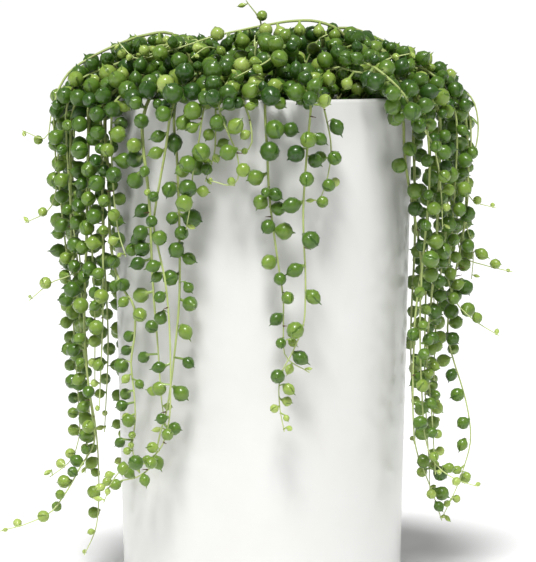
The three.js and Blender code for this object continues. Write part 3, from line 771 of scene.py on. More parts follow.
def push_apart(stems):
    """One round: every stem's points, moved away from the stems that come too close."""
    starts = np.concatenate([stem[:-1] for stem in stems])
    ends = np.concatenate([stem[1:] for stem in stems])
    owner = np.repeat(np.arange(len(stems)), [len(stem) - 1 for stem in stems])
    first = np.cumsum([0] + [len(stem) for stem in stems])
    slot = np.arange(len(starts)) + owner
    near = (owner[:, None] < owner) & (((starts[:, None] - starts) ** 2).sum(2) <= 4 * STEM_STEP**2)
    a, b = np.nonzero(near)
    share_a, share_b, way, gap = closest(starts[a], ends[a], starts[b], ends[b])
    tight = gap < STEM_SPACING
    a, b, share_a, share_b, way, gap = (values[tight] for values in (a, b, share_a, share_b, way, gap))
    unit = np.where(gap[:, None] > 1e-3, way / np.maximum(gap, 1e-9)[:, None], [0, 0, 1])
    way = unit * ((STEM_SPACING - gap) * BEND_SHARE)[:, None]
    push = np.zeros((first[-1], 3))
    np.add.at(push, slot[a], way * (1 - share_a)[:, None])
    np.add.at(push, slot[a] + 1, way * share_a[:, None])
    np.add.at(push, slot[b], -way * (1 - share_b)[:, None])
    np.add.at(push, slot[b] + 1, -way * share_b[:, None])
    return [push[first[i]:first[i + 1]] for i in range(len(stems))]


def bend_clear(stems):
    for _ in range(BEND_ROUNDS):
        moved = []
        for stem, push in zip(stems, push_apart(stems)):
            before = np.vstack([push[:1], push[:-1]])
            after = np.vstack([push[1:], push[-1:]])
            place = stem + push + PUSH_SPREAD * (before + after)
            place[2:] = kept_off_pot(place[2:])
            place[:2] = stem[:2]
            moved.append(spaced(place, len(stem) - 1))
        stems = moved
    return stems


spread_roots(list(ROUTES.values()))
rough = [spaced(points, max(4, round(curve_length(points) / STEM_STEP))) for points in ROUTES.values()]
STEMS = dict(zip(ROUTES, bend_clear(rough)))
print(len(STEMS), "stems bent clear")

# %% [markdown]
# ## One leaf, modelled by hand
#
# A full-grown leaf is nearly a ball, with a short stalk at one end and a small hard point at the other.
# It starts as a low sphere, whose rings are narrowed towards either end. The faces round the upper
# pole are then inset and pulled out into the point, and those round the lower pole into the stalk.
# There are many hundreds of leaves, so each is kept low and smooth shading does the rest. The same
# moves with other numbers give a drop that hangs from a drawn-out neck, a lemon with two pointed
# ends, and the slim bud that stands at the tip of a stem.

# %% Model the four shapes of leaf
STALK_RADIUS = 0.13
LEAF_RINGS = 6
SHOULDER = math.cos(math.pi / LEAF_RINGS)
SHOULDER_WIDTH = math.sin(math.pi / LEAF_RINGS)


def narrow_ring(leaf, height, width):
    pick(leaf, lambda at: abs(at.z - height) < 0.01, "VERT")
    bpy.ops.transform.resize(value=(width, width, 1))


def model_leaf(name, sides, girth, above, below, point, neck):
    """A leaf of length 2 with its point up. above and below narrow the two rings over and under its
    girth, point is how far the hard point stands out, and neck how far the stalk's end is drawn out."""
    bpy.ops.mesh.primitive_uv_sphere_add(segments=sides, ring_count=LEAF_RINGS, radius=1)
    leaf = named(name)
    bpy.ops.object.mode_set(mode="EDIT")
    for height, width in ((0.5, above[0]), (SHOULDER, above[1]), (-0.5, below[0]), (-SHOULDER, below[1])):
        narrow_ring(leaf, height, width)
    bpy.ops.mesh.select_all(action="SELECT")
    bpy.ops.transform.resize(value=(girth, girth, 1))
    pick(leaf, lambda at: at.z > SHOULDER)
    bpy.ops.mesh.inset(thickness=SHOULDER_WIDTH * girth * above[1] * 0.68)
    pick(leaf, lambda at: at.z > 0.999, "VERT")
    bpy.ops.transform.translate(value=(0, 0, point))
    pick(leaf, lambda at: at.z < -SHOULDER)
    bpy.ops.mesh.inset(thickness=max(0.02, SHOULDER_WIDTH * girth * below[1] - STALK_RADIUS * 1.3))
    bpy.ops.transform.translate(value=(0, 0, -neck))
    bpy.ops.mesh.extrude_region_move(TRANSFORM_OT_translate={"value": (0, 0, -0.5)})
    bpy.ops.transform.resize(value=(0.8, 0.8, 0))
    bpy.ops.object.mode_set(mode="OBJECT")
    bpy.ops.object.shade_smooth()
    return leaf


LEAF_SHAPES = {
    "ball": model_leaf("ball_leaf", 10, 1.0, (1, 0.94), (1, 1), 0.32, 0.04),
    "drop": model_leaf("drop_leaf", 10, 0.94, (1.02, 0.95), (0.84, 0.6), 0.34, 0.24),
    "lemon": model_leaf("lemon_leaf", 10, 0.84, (0.9, 0.72), (0.95, 0.8), 0.42, 0.14),
    "bud": model_leaf("bud_leaf", 8, 0.52, (0.88, 0.7), (0.88, 0.64), 0.3, 0.3),
}
for shape, leaf in LEAF_SHAPES.items():
    print("the", shape, "leaf has", len(leaf.data.polygons), "faces")

# %% [markdown]
# ## Where the leaves grow
#
# Every leaf sits on a short stalk beside its stem, presses lightly against its neighbours and keeps
# out of the pot. So a leaf is placed in three steps: list the places round the stem that its stalk
# could reach, strike out the ones that are taken, and keep the one that best fits the wished side.
# The stems are sampled finely first, and a tree of their points finds quickly what a leaf would hit.
#
# The crown has a shape of its own: a low dome with a notch at the front. Its leaves stay inside that
# shape, give or take a little, and leave uncovered the few stems that cross it in full view. The
# shape is described as the camera sees it, with the same perspective.

# %% Sample the stems and test for room
FINE_STEP = 0.5
TREE_STRIDE = 4
STEM_ROOM = 0.7
SQUEEZE = 0.4
WALL_ROOM = 0.25
DOME_HEIGHT = 34
DOME_RADIUS = 97
PLANT_RADIUS = 95
SEEN_TOP = (
    (-97, -12), (-89, 6), (-76, 18), (-62, 25), (-49, 28), (-23, 28), (4, 31), (30, 33), (43, 31.5),
    (56, 24), (70, 20.5), (83, 12), (92, -2), (97, -12))
SEEN_BOTTOM = (
    (-97, -60), (-67, -60), (-63, -7), (28, -6), (29.5, 11.8), (35, 11.8), (36, -8), (45, -7), (47, -4),
    (56, -4), (60, -60), (97, -60))
STEMS_IN_SIGHT = ("left_sprig_middle", "crown_across", "crown_front_right", "front_right_slanting")
SIGHT_STEP = 4
SIGHT_ROOM = 0.75

ROUTE = {name: spaced(points, round(curve_length(points) / FINE_STEP)) for name, points in STEMS.items()}
HEADING = {name: np.gradient(points, axis=0) for name, points in ROUTE.items()}
for name, way in HEADING.items():
    way /= np.linalg.norm(way, axis=1)[:, None]

stem_tree = KDTree(sum(len(range(0, len(points), TREE_STRIDE)) for points in ROUTE.values()))
stem_owner = []
for name, points in ROUTE.items():
    for point in points[::TREE_STRIDE]:
        stem_tree.insert(point, len(stem_owner))
        stem_owner.append(name)
stem_tree.balance()
placed = np.empty((0, 4))
LEAVES_ON = {name: [] for name in ROUTE}


def hits_a_stem(centre, radius, own):
    for _, index, gap in stem_tree.find_range(centre, radius + STEM_ROOM):
        if stem_owner[index] != own or gap < 0.8 * radius:
            return True
    return False


def room_at(centres, radius):
    """The smallest gap from each place to a leaf that has grown, or -1 in the pot or the soil."""
    room = np.full(len(centres), 9.0)
    if len(placed):
        apart = np.linalg.norm(centres[:, None] - placed[None, :, :3], axis=2)
        room = (apart - placed[:, 3] - radius).min(axis=1)
    gap, out, _ = wall_gap(centres)
    bottom = centres[:, 2] - radius
    in_wall = gap < radius + WALL_ROOM
    in_soil = (out < RIM_RADIUS) & (bottom < SOIL_TOP + 0.5)
    near_pot = (out < RIM_RADIUS + radius + WALL_ROOM) & (out > RIM_RADIUS - WALL)
    beside_pot = near_pot & (centres[:, 2] < POT_HEIGHT)
    return np.where(in_wall | in_soil | beside_pot, -1, room)


def as_seen(points):
    """Across and up on the picture, counted from the middle of the rim, and away from the camera."""
    rise, run = math.sin(CAMERA_ELEVATION), math.cos(CAMERA_ELEVATION)
    target = np.array(CAMERA_TARGET) / MM
    side, back, height = (points - target).T
    away = back * run - height * rise
    nearer = CAMERA_DISTANCE / (CAMERA_DISTANCE + away * MM)
    up = (height * run + back * rise) * nearer - (POT_HEIGHT - target[2]) * run
    return side * nearer + target[0], up, away


SIGHT_POINTS = np.concatenate([ROUTE[name][::SIGHT_STEP] for name in STEMS_IN_SIGHT])
SIGHT_POINTS = SIGHT_POINTS[SIGHT_POINTS[:, 2] > POT_HEIGHT + 4]


def out_of_shape(centres, radius, on_crown, stray, may_hide):
    """True where a leaf would stand out of the dome or hide a stem that the photograph shows."""
    out = np.hypot(centres[:, 0], centres[:, 1])
    height = centres[:, 2] - POT_HEIGHT
    across, up, away = as_seen(centres)
    dome = np.maximum(DOME_HEIGHT * (1 - (out / DOME_RADIUS) ** 3), -2)
    over = (height + radius > dome + stray) | (up + radius > np.interp(across, *zip(*SEEN_TOP)) + stray)
    wide = out + radius > PLANT_RADIUS
    if not on_crown:
        return over | wide
    under = up - radius < np.interp(across, *zip(*SEEN_BOTTOM))
    under &= (away < 0) | (up + radius > 0)
    shown_across, shown_up, shown_away = as_seen(SIGHT_POINTS)
    covers = np.hypot(across[:, None] - shown_across, up[:, None] - shown_up) < SIGHT_ROOM * radius
    hides = (covers & (away[:, None] < shown_away)).any(axis=1)
    return over | wide | under | (hides & (not may_hide))


print(len(stem_owner), "stem points to keep clear of")

# %% Grow one leaf
SIDE_TURNS = np.radians([0, 35, -35, 70, -70, 105, -105, 140, -140, 180])
AXIS_WOBBLE = 0.45
STRAYS = (-3, 1.5)
HIDING_SHARE = 0.1
draw_leaf = Draws(515)


def unit(way):
    return way / max(math.sqrt(way @ way), 1e-9)


def keep_leaf(name, i, centre, radius, shape, age, droop):
    """Puts a leaf on the list of its stem. Its point faces away from the stem, a little at random."""
    global placed
    placed = np.vstack([placed, [*centre, radius]])
    neck = ROUTE[name][i]
    wobble = np.array([draw_leaf(-1, 1), draw_leaf(-1, 1), draw_leaf(-1, 1)]) * AXIS_WOBBLE
    axis = unit(unit(centre - neck) + wobble - [0, 0, droop])
    LEAVES_ON[name].append({
        "centre": centre, "axis": axis, "radius": radius, "neck": neck, "shape": shape, "age": age,
        "turn": draw_leaf(0, 2 * math.pi), "shade": draw_leaf(0, 1),
    })


def grow(name, i, radius, wish, stalks, shape, age, place, droop=0.0):
    """Grows a leaf at point i of a stem where it has room, as near the wished side as it can."""
    point, heading = ROUTE[name][i], HEADING[name][i]
    wished = unit(wish - (wish @ heading) * heading)
    across = np.cross(heading, wished)
    lean = draw_leaf(-0.35, 0.35) * heading
    ways = np.cos(SIDE_TURNS)[:, None] * wished + np.sin(SIDE_TURNS)[:, None] * across + lean
    ways /= np.linalg.norm(ways, axis=1)[:, None]
    reach = np.repeat([radius + stalk for stalk in stalks], len(ways))
    ways = np.tile(ways, (len(stalks), 1))
    centres = point + ways * reach[:, None]
    room = room_at(centres, radius)
    if place != "tip":
        stray, may_hide = draw_leaf(*STRAYS), draw_leaf(0, 1) < HIDING_SHARE
        room[out_of_shape(centres, radius, place == "crown", stray, may_hide)] = -1
    score = ways @ wished + np.minimum(room, 0.5) - 0.12 * reach
    for k in np.argsort(-score):
        if room[k] > -SQUEEZE and not hits_a_stem(centres[k], radius, name):
            keep_leaf(name, i, centres[k], radius, shape, age, droop)
            return True
    return False


print("one leaf at a time from here")

# %% [markdown]
# ## Four rules of growth
#
# The listed leaves go on first, exactly where the list says. The hanging stretches follow: leaves stand on
# alternate sides, and towards the tip they get smaller, paler and farther apart. Their colour also runs from
# darker high on a curtain to paler low down. That is partly younger leaves towards the tips and partly
# painted shade on the upper leaves. Then a few pale drops hang in front of the crown from the stems that
# cross it. The crown comes last. There the leaves crowd in on all sides and fill what room is left, with
# longer stalks and smaller leaves for the tight places.

# %% Grow every leaf
STALK_GAP = 0.9
LISTED_SWELL = 1.12
LISTED_SLIDES = np.array([0, 0.7, -0.7, 1.4, -1.4, 2.1, -2.1, 2.8, 3.5, 4.2])
FULL_RADIUS = (2.8, 4.25)
YOUNG_RADIUS = (1.5, 2.6)
YOUNG_BELOW = 2.3
LOW_SHRINK = 0.2
HANG_STEP = 6.6
TIP_STEP = 8.5
TIP_STRETCH = 26
SPRIG_TIP = 14
SPRIG_YOUTH = 0.7
CROWN_STEP = 3.4
CROWN_DROP = 6
CROWN_STALKS = (0.7, 1.9, 3.3)
LARGE_ON_CROWN = (4.2, 3.6)
SMALL_ON_CROWN = (3.6, 3.0, 2.4)
PALE_ON_CROWN = 0.2
HANG_STALKS = (0.7, 1.8)
CROWN_DROPS = (
    ("crown_across", 24, 122, (1.6, 2.8)), ("crown_front_right", 18, 60, (3.6, 4.8)),
    ("left_sprig_middle", 20, 60, (1.6, 2.8)))
DROP_STEP = 9
DROP_RADIUS = (2.7, 3.7)


def outward_at(point):
    return unit(point * [1, 1, 0])


def pick_shape(youth):
    """Full-grown leaves are mostly balls, young ones lemons, and the youngest are buds."""
    if youth > 0.85:
        return "bud"
    chance = draw_leaf(0, 1)
    if chance < 0.16 + 0.75 * youth:
        return "lemon"
    return "drop" if chance > 0.6 else "ball"


def grow_listed(name, rows, at_edge):
    route = ROUTE[name]
    top = int(route[:, 2].argmax())
    for drop, side, radius in rows:
        i = top + int(np.argmax(route[top:, 2] <= POT_HEIGHT - drop))
        outwards = outward_at(route[i])
        along_rim = np.array([-outwards[1], outwards[0], 0])
        across, forwards = (outwards, -along_rim) if at_edge else (along_rim, outwards)
        reach = radius + STALK_GAP
        forward = math.sqrt(max(0, reach**2 - side**2))
        centres = route[i] + side * across + np.outer(forward + LISTED_SLIDES, forwards)
        radius_grown = radius * LISTED_SWELL
        room = room_at(centres, radius_grown)
        free = [k for k, gap in enumerate(room) if gap > -SQUEEZE
                and not hits_a_stem(centres[k], radius_grown, name)]
        k = free[0] if free else int(np.argmax(room))
        young = radius < YOUNG_BELOW
        age = 0.75 if young else draw_leaf(0.1, 0.45)
        shape = pick_shape(0.8 if young else 0.1 + 0.7 * drop / POT_HEIGHT)
        keep_leaf(name, max(i - 4, top), centres[k], radius_grown, shape, age, 0.2)


def grow_hanging(name):
    route = ROUTE[name]
    length = (len(route) - 1) * FINE_STEP
    top = int(route[:, 2].argmax()) if name in HANGING_STEMS else 0
    tip = SPRIG_TIP if "sprig" in name else TIP_STRETCH
    side = 1 if draw_leaf(0, 1) < 0.5 else -1
    listed_rows = LEAVES.get(name) or EDGE_LEAVES.get(name) or [(math.inf, 0, 0)]
    listed_from, listed_to = listed_rows[0][0] - HANG_STEP, listed_rows[-1][0] + HANG_STEP
    distance = length - draw_leaf(0.5, 1.5)
    while distance > top * FINE_STEP:
        i = int(distance / FINE_STEP)
        if name in HANGING_STEMS and route[i, 2] > POT_HEIGHT - CROWN_DROP:
            break
        young = max(0, 1 - (length - distance) / tip)
        if young == 0 and listed_from < POT_HEIGHT - route[i, 2] < listed_to:
            distance -= HANG_STEP
            continue
        outwards = outward_at(route[i])
        along_rim = np.array([-outwards[1], outwards[0], 0])
        wish = outwards * draw_leaf(0.1, 1.1) + side * along_rim * draw_leaf(0.4, 1)
        low = min(1, max(0, POT_HEIGHT - route[i, 2]) / POT_HEIGHT)
        full, small = draw_leaf(*FULL_RADIUS) * (1 - LOW_SHRINK * low), draw_leaf(*YOUNG_RADIUS)
        radius = full + (small - full) * min(1, young * 1.5)
        # The age grows with the distance along the stem and with how low the leaf hangs, so the upper leaves
        # of a curtain are darker and the lower ones paler. This is partly younger leaves towards the tips and
        # partly painted shade, standing for the shade that falls on the upper leaves.
        age = min(1, 0.1 + 0.3 * distance / length + 0.6 * young + 0.15 * low + draw_leaf(-0.12, 0.12))
        place = "tip" if young > 0 else "hanging"
        shape = pick_shape(max(young, SPRIG_YOUTH if "sprig" in name else 0.7 * low))
        grow(name, i, radius, wish, HANG_STALKS, shape, age, place, droop=0.25)
        side = -side
        distance -= (TIP_STEP if young else HANG_STEP) * draw_leaf(0.75, 1.25)
        if name in CROWN_STEMS and length - distance > tip:
            break


def grow_drops(name, start, stop, stalks):
    """Pale drop-shaped leaves that hang in front of the mat, from one length of a stem to another."""
    for distance in np.arange(start, stop, DROP_STEP):
        i = int((distance + draw_leaf(-1.5, 1.5)) / FINE_STEP)
        wish = np.array([draw_leaf(-0.4, 0.4), -0.6, -1])
        grow(name, i, draw_leaf(*DROP_RADIUS), wish, stalks, "drop", draw_leaf(0.3, 0.85), "tip", 0.6)


def grow_on_crown(name, stalks, sizes):
    route = ROUTE[name]
    start = int((ROOT_DEPTH + 3) / FINE_STEP)
    stop = len(route) - 1
    if name in CROWN_STEMS:
        stop -= int(TIP_STRETCH / FINE_STEP)
    i = start
    while i < stop:
        if i > 60 and name in HANGING_STEMS and route[i, 2] < POT_HEIGHT - CROWN_DROP:
            break
        outwards = outward_at(route[i])
        along_rim = np.array([-outwards[1], outwards[0], 0])
        wish = outwards * draw_leaf(-0.4, 0.9) + along_rim * draw_leaf(-1.3, 1.3)
        wish = wish + [0, 0, draw_leaf(0, 1.1)]
        pale = draw_leaf(0, 1) < PALE_ON_CROWN
        age = draw_leaf(0.35, 0.8) if pale else draw_leaf(0, 0.3)
        for radius in sizes:
            if grow(name, i, radius * draw_leaf(0.9, 1.08), wish, stalks, pick_shape(0.2), age, "crown"):
                break
        i += int(CROWN_STEP * draw_leaf(0.75, 1.25) / FINE_STEP)


for name, rows in LEAVES.items():
    grow_listed(name, rows, at_edge=False)
for name, rows in EDGE_LEAVES.items():
    grow_listed(name, rows, at_edge=True)
for name in sorted(ROUTE, key=lambda name: "sprig" not in name):
    grow_hanging(name)
for name, start, stop, stalks in CROWN_DROPS:
    grow_drops(name, start, stop, stalks)
for name in ROUTE:
    grow_on_crown(name, CROWN_STALKS[:2], LARGE_ON_CROWN)
for name in ROUTE:
    grow_on_crown(name, CROWN_STALKS, SMALL_ON_CROWN)
total = sum(len(rows) for rows in LEAVES_ON.values())
print(total, "leaves,", int((placed[:, 2] > POT_HEIGHT - CROWN_DROP).sum()), "of them on the crown")
apart = np.linalg.norm(placed[:, None, :3] - placed[:, :3], axis=2)
apart += 99 * np.eye(len(placed)) - placed[:, 3] - placed[:, None, 3]
pressed = np.count_nonzero(apart < -SQUEEZE) // 2
print(f"{pressed} pairs press more than {SQUEEZE} mm together, at most {-apart.min():.1f} mm")

# %% [markdown]
# ## The skin of a leaf
#
# The leaf is green and waxy, with a soft gloss, and a little light passes through it. Its age sets
# the colour: deep green when full grown, yellow-green when young. A narrow clear strip runs from the
# point towards the stalk. The plant uses it as a window that lets light into the leaf, and it shows
# as a darker, shinier line. The sphere's own UV map runs round and along every leaf, so the line is
# drawn there and stays on its leaf wherever the leaf is turned.

# %% Make the leaf and stem finishes
LEAF_GREENS = (
    (0.0, (0.023, 0.072, 0.005)), (0.3, (0.084, 0.169, 0.015)),
    (0.6, (0.21, 0.31, 0.045)), (1.0, (0.39, 0.49, 0.12)),
)
WINDOW_GREEN = (0.018, 0.062, 0.010)
STALK_GREEN = (0.36, 0.47, 0.15)
STEM_GREENS = (
    (0.0, (0.20, 0.22, 0.065)), (0.35, (0.34, 0.42, 0.13)), (1.0, (0.50, 0.58, 0.24)),
)
STEM_BROWN = (0.20, 0.125, 0.055)
DRY_BROWN = (0.13, 0.070, 0.040)
WINDOW_WIDTH = 0.03
WINDOW_START = 0.5


def leaf_finish():
    skin = Finish(
        "leaf_skin", Roughness=0.34, Coat_Weight=0.3, Coat_Roughness=0.07,
        Subsurface_Weight=0.2, Subsurface_Radius=(0.5, 1.0, 0.2), Subsurface_Scale=0.002,
        Specular_IOR_Level=0.36,
    )
    uv = skin.nodes.new("ShaderNodeUVMap")
    split = skin.nodes.new("ShaderNodeSeparateXYZ")
    skin.join(uv.outputs["UV"], split.inputs[0])
    around_leaf, along_leaf = split.outputs["X"], split.outputs["Y"]
    aside = skin.math("ABSOLUTE", skin.math("SUBTRACT", around_leaf, 0.5))
    girth = skin.math("SINE", skin.math("MULTIPLY", along_leaf, math.pi))
    near = skin.math("MULTIPLY", aside, girth)
    line = skin.math("DIVIDE", skin.math("SUBTRACT", WINDOW_WIDTH, near), WINDOW_WIDTH * 0.5, clamp=True)
    started = skin.math("MULTIPLY", skin.math("SUBTRACT", along_leaf, WINDOW_START), 8, clamp=True)
    window = skin.math("MULTIPLY", line, started)
    shade = skin.math("MULTIPLY", skin.math("SUBTRACT", skin.attribute("leaf_shade"), 0.5), 0.28)
    mottled = skin.math("ADD", shade, skin.mottling(260, 0.35))
    age = skin.math("ADD", skin.attribute("leaf_age"), mottled, clamp=True)
    green = skin.ramp(age, *LEAF_GREENS)
    green = skin.blend(skin.math("MULTIPLY", window, 0.55), green, WINDOW_GREEN)
    low = skin.math("DIVIDE", skin.math("SUBTRACT", 0.17, along_leaf), 0.12, clamp=True)
    green = skin.blend(skin.math("MULTIPLY", low, 0.8), green, STALK_GREEN)
    skin.join(green, skin.shader.inputs["Base Color"])
    gloss = skin.math("SUBTRACT", 0.36, skin.math("MULTIPLY", window, 0.2))
    skin.join(gloss, skin.shader.inputs["Roughness"])
    height = skin.math("SUBTRACT", skin.mottling(900, 0.25), window)
    skin.bump(height, 0.00012)
    return skin.material


def stem_finish():
    bark = Finish("stem_skin", Roughness=0.5, Specular_IOR_Level=0.4, Subsurface_Weight=0.1,
                  Subsurface_Radius=(0.5, 0.8, 0.2), Subsurface_Scale=0.001)
    age = bark.math("ADD", bark.attribute("leaf_age"), bark.mottling(180, 0.5), clamp=True)
    green = bark.ramp(age, *STEM_GREENS)
    patches = bark.math("MULTIPLY", bark.math("SUBTRACT", bark.mottling(90, 2.2), 0.25), 3, clamp=True)
    old = bark.math("SUBTRACT", 1, bark.attribute("leaf_age"), clamp=True)
    colour = bark.blend(bark.math("MULTIPLY", patches, old), green, STEM_BROWN)
    bark.join(colour, bark.shader.inputs["Base Color"])
    bark.bump(bark.mottling(1400, 1.0), 0.0002)
    return bark.material


DRY_SKIN = Finish("dry_skin", Base_Color=(*DRY_BROWN, 1), Roughness=0.8).material
LEAF_SKIN = leaf_finish()
STEM_SKIN = stem_finish()
print("three finishes for the plant")

# %% [markdown]
# ## Putting a stem together
#
# The stem is a curve with a round section that thins towards its tip, turned into a mesh. It bends a
# little to and fro, because a real one turns at every leaf. Each leaf is a copy of its shape with its
# own mesh, turned and sized, and the foot of its stalk is pulled to the stem, so that none hangs in
# the air. Here and there a dry stub is left where a leaf has dropped. Two numbers go with every
# point, the age and a shade of its own, and the finishes read them. Then the copies are joined to
# their stem as one piece.

# %% Model the stems with their leaves
STEM_SEGMENT = 3.5
STEM_THICKNESS = (0.58, 0.84)
ZIGZAG = 0.2
TIP_THICKNESS = 0.22
STALK_FOOT = 0.46
STUBS_PER_STEM = 2
STUB_SIDES = 5
STUB_RADII = (0.42, 0.14)
STUB_LENGTHS = (1.8, 3.2)
draw_piece = Draws(99)


def give_numbers(mesh, age, shade):
    for name, value in (("leaf_age", age), ("leaf_shade", shade)):
        numbers = mesh.attributes.new(name, "FLOAT", "POINT")
        numbers.data.foreach_set("value", np.broadcast_to(np.float32(value), len(mesh.vertices)))


def model_stem(name):
    route = ROUTE[name]
    count = max(6, round((len(route) - 1) * FINE_STEP / STEM_SEGMENT))
    points = spaced(STEMS[name], count)
    sideways_on = np.cross(np.gradient(points, axis=0), [0, 0, 1])
    points += ZIGZAG / STEM_SEGMENT * np.sin(np.arange(count + 1) * math.pi / 2)[:, None] * sideways_on
    points *= MM
    share = np.linspace(0, 1, count + 1)
    thick = draw_piece(*STEM_THICKNESS)
    radii = thick + (TIP_THICKNESS - thick) * share**1.6
    bpy.ops.curve.primitive_nurbs_path_add()
    stem = named(name + "_stem")
    stem.data.splines.clear()
    line = stem.data.splines.new("POLY")
    line.points.add(count)
    line.points.foreach_set("co", np.column_stack([points, np.ones(count + 1)]).ravel())
    line.points.foreach_set("radius", radii)
    stem.data.bevel_depth = MM
    stem.data.bevel_resolution = 1
    stem.data.use_fill_caps = True
    bpy.ops.object.convert(target="MESH")
    stem = bpy.context.object
    places = np.array([v.co for v in stem.data.vertices])
    nearest = np.linalg.norm(places[:, None] - points, axis=2).argmin(axis=1)
    give_numbers(stem.data, share[nearest], draw_piece(0, 1))
    bpy.ops.object.shade_smooth()
    return stem


def model_stub():
    """The dry end of a stalk that has lost its leaf, 1 mm long, with a bent and torn tip."""
    bpy.ops.mesh.primitive_cone_add(
        vertices=STUB_SIDES, radius1=STUB_RADII[0], radius2=STUB_RADII[1], depth=1, location=(0, 0, 0.5))
    stub = named("dry_stub")
    bpy.ops.object.transform_apply()
    bpy.ops.object.mode_set(mode="EDIT")
    pick(stub, lambda at: at.z > 0.99)
    bpy.ops.mesh.extrude_region_move(TRANSFORM_OT_translate={"value": (0.14, 0, 0.25)})
    bpy.ops.transform.resize(value=(0.5, 1.5, 1))
    bpy.ops.object.mode_set(mode="OBJECT")
    bpy.ops.object.shade_smooth()
    stub.data.materials.append(DRY_SKIN)
    return stub


def stubs_on(name):
    """Dry stubs stick out of an old stem at random heights."""
    route, stubs = ROUTE[name], []
    for _ in range(STUBS_PER_STEM if name in HANGING_STEMS and "sprig" not in name else 0):
        i = int(draw_piece(0.3, 0.85) * (len(route) - 1))
        outwards = outward_at(route[i])
        way = outwards + draw_piece(-1.5, 1.5) * np.array([-outwards[1], outwards[0], 0])
        way = way + [0, 0, draw_piece(-0.5, 0.3)]
        turn = Vector(way).to_track_quat("Z", "Y").to_matrix().to_4x4()
        size = Matrix.Diagonal((MM, MM, draw_piece(*STUB_LENGTHS) * MM, 1))
        stub = bpy.data.objects.new("dry_stub", STUB.data.copy())
        stub.data.transform(Matrix.Translation(route[i] * MM) @ turn @ size)
        bpy.context.scene.collection.objects.link(stub)
        stubs.append(stub)
    return stubs


def model_one_leaf(leaf):
    shape = LEAF_SHAPES[leaf["shape"]]
    copy = bpy.data.objects.new(shape.name, shape.data.copy())
    count = len(copy.data.vertices)
    places = np.empty(count * 3)
    copy.data.vertices.foreach_get("co", places)
    places = places.reshape(count, 3)
    turn = Vector(leaf["axis"]).to_track_quat("Z", "Y").to_matrix() @ Matrix.Rotation(leaf["turn"], 3, "Z")
    turned = places @ np.array(turn).T
    at = leaf["centre"] + leaf["radius"] * turned
    foot = places[:, 2] < places[:, 2].min() + 0.01
    flat = (places * [1, 1, 0]) @ np.array(turn).T
    at[foot] = leaf["neck"] + STALK_FOOT / STALK_RADIUS * flat[foot]
    copy.data.vertices.foreach_set("co", (at * MM).ravel())
    give_numbers(copy.data, leaf["age"], leaf["shade"])
    bpy.context.scene.collection.objects.link(copy)
    return copy


def assemble(name):
    stem = model_stem(name)
    stem.data.materials.append(STEM_SKIN)
    stem.data.materials.append(LEAF_SKIN)
    select_only(stem, *stubs_on(name), *[model_one_leaf(leaf) for leaf in LEAVES_ON[name]])
    bpy.ops.object.join()
    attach(stem, "root")
    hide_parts(name)
    return len(stem.data.polygons)


for shape in LEAF_SHAPES.values():
    shape.data.materials.append(STEM_SKIN)
    shape.data.materials.append(LEAF_SKIN)
    shape.data.polygons.foreach_set("material_index", [1] * len(shape.data.polygons))
STUB = model_stub()
faces = [assemble(name) for name in ROUTE]
for shape in (*LEAF_SHAPES.values(), STUB):
    bpy.data.objects.remove(shape)
print(len(faces), "stems,", sum(faces), "faces")

# %% [markdown]
# ## Floor and light
#
# A plain pale floor and a bright, even room keep the eye on the plant. One broad, soft sun above and
# behind the camera gives each leaf its highlight and throws the shadow of the pot out of sight, and
# two weak lights from the sides open the shadows between the leaves. The colours are shown as they
# are, without a film look, so that white stays white.

# %% Lay the floor and light the plant
FLOOR_RADIUS = 9
ROOM_WHITE = (1.0, 1.0, 1.0)
SEEN_BRIGHTNESS = 1.03
ROOM_BRIGHTNESS = 0.25
SUN_STRENGTH = 3.9
SUN_SIZE = math.radians(17)
SUN_FROM = (-0.1, -0.62, 1.1)


def soft_light(name, place, size, power):
    lamp = bpy.data.lights.new(name, "AREA")
    lamp.shape = "DISK"
    lamp.size = size
    lamp.energy = power
    light = bpy.data.objects.new(name, lamp)
    light.location = place
    light.rotation_euler = (Vector((0, 0, 0.13)) - light.location).to_track_quat("-Z", "Y").to_euler()
    bpy.context.scene.collection.objects.link(light)


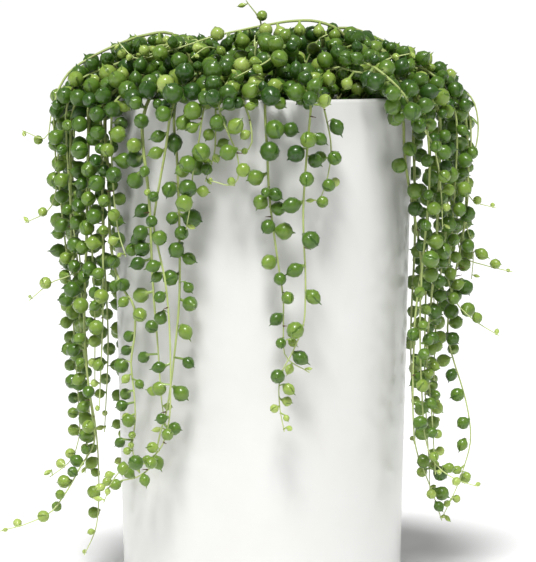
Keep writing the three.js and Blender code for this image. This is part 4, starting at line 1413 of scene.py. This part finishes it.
def lay_floor():
    bpy.ops.mesh.primitive_circle_add(vertices=96, radius=FLOOR_RADIUS, fill_type="NGON")
    floor = named("studio_floor")
    pale = Finish("pale_floor", Base_Color=(0.97, 0.97, 0.97, 1), Roughness=0.9)
    floor.data.materials.append(pale.material)
    floor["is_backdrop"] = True


def light_room():
    """A white room for the eye that lights the plant less than it looks, so that shadows stay deep."""
    room = bpy.data.worlds.new("bright_room")
    room.use_nodes = True
    nodes, join = room.node_tree.nodes, room.node_tree.links.new
    seen = nodes["Background"]
    seen.inputs["Color"].default_value = (*ROOM_WHITE, 1)
    seen.inputs["Strength"].default_value = SEEN_BRIGHTNESS
    lighting = nodes.new("ShaderNodeBackground")
    lighting.inputs["Color"].default_value = (*ROOM_WHITE, 1)
    lighting.inputs["Strength"].default_value = ROOM_BRIGHTNESS
    path, mix = nodes.new("ShaderNodeLightPath"), nodes.new("ShaderNodeMixShader")
    join(path.outputs["Is Camera Ray"], mix.inputs["Fac"])
    join(lighting.outputs[0], mix.inputs[1])
    join(seen.outputs[0], mix.inputs[2])
    join(mix.outputs[0], nodes["World Output"].inputs["Surface"])
    bpy.context.scene.world = room


def sunlight():
    lamp = bpy.data.lights.new("soft_sun", "SUN")
    lamp.energy = SUN_STRENGTH
    lamp.angle = SUN_SIZE
    sun = bpy.data.objects.new("soft_sun", lamp)
    sun.rotation_euler = (-Vector(SUN_FROM)).to_track_quat("-Z", "Y").to_euler()
    bpy.context.scene.collection.objects.link(sun)


lay_floor()
light_room()
sunlight()
soft_light("left_light", (-1.5, -0.5, 0.6), 0.6, 2.5)
soft_light("right_light", (1.5, -0.5, 0.7), 0.6, 2)
bpy.context.scene.view_settings.view_transform = "Standard"
print("floor and three lights")

# %% [markdown]
# ## The two boxes
#
# Both boxes, that of the frame the plant was built round and that of the finished plant, are printed side by
# side. The finished plant has to stay in the box of the frame that it was built round.

finished_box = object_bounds()
boxes = {
    "cad": [list(corner) for corner in cad_box],
    "visual": [list(corner) for corner in finished_box],
}
for label, (low, high) in boxes.items():
    print(label, [f"{(b - a) * 1000:.0f}" for a, b in zip(low, high)], "mm")
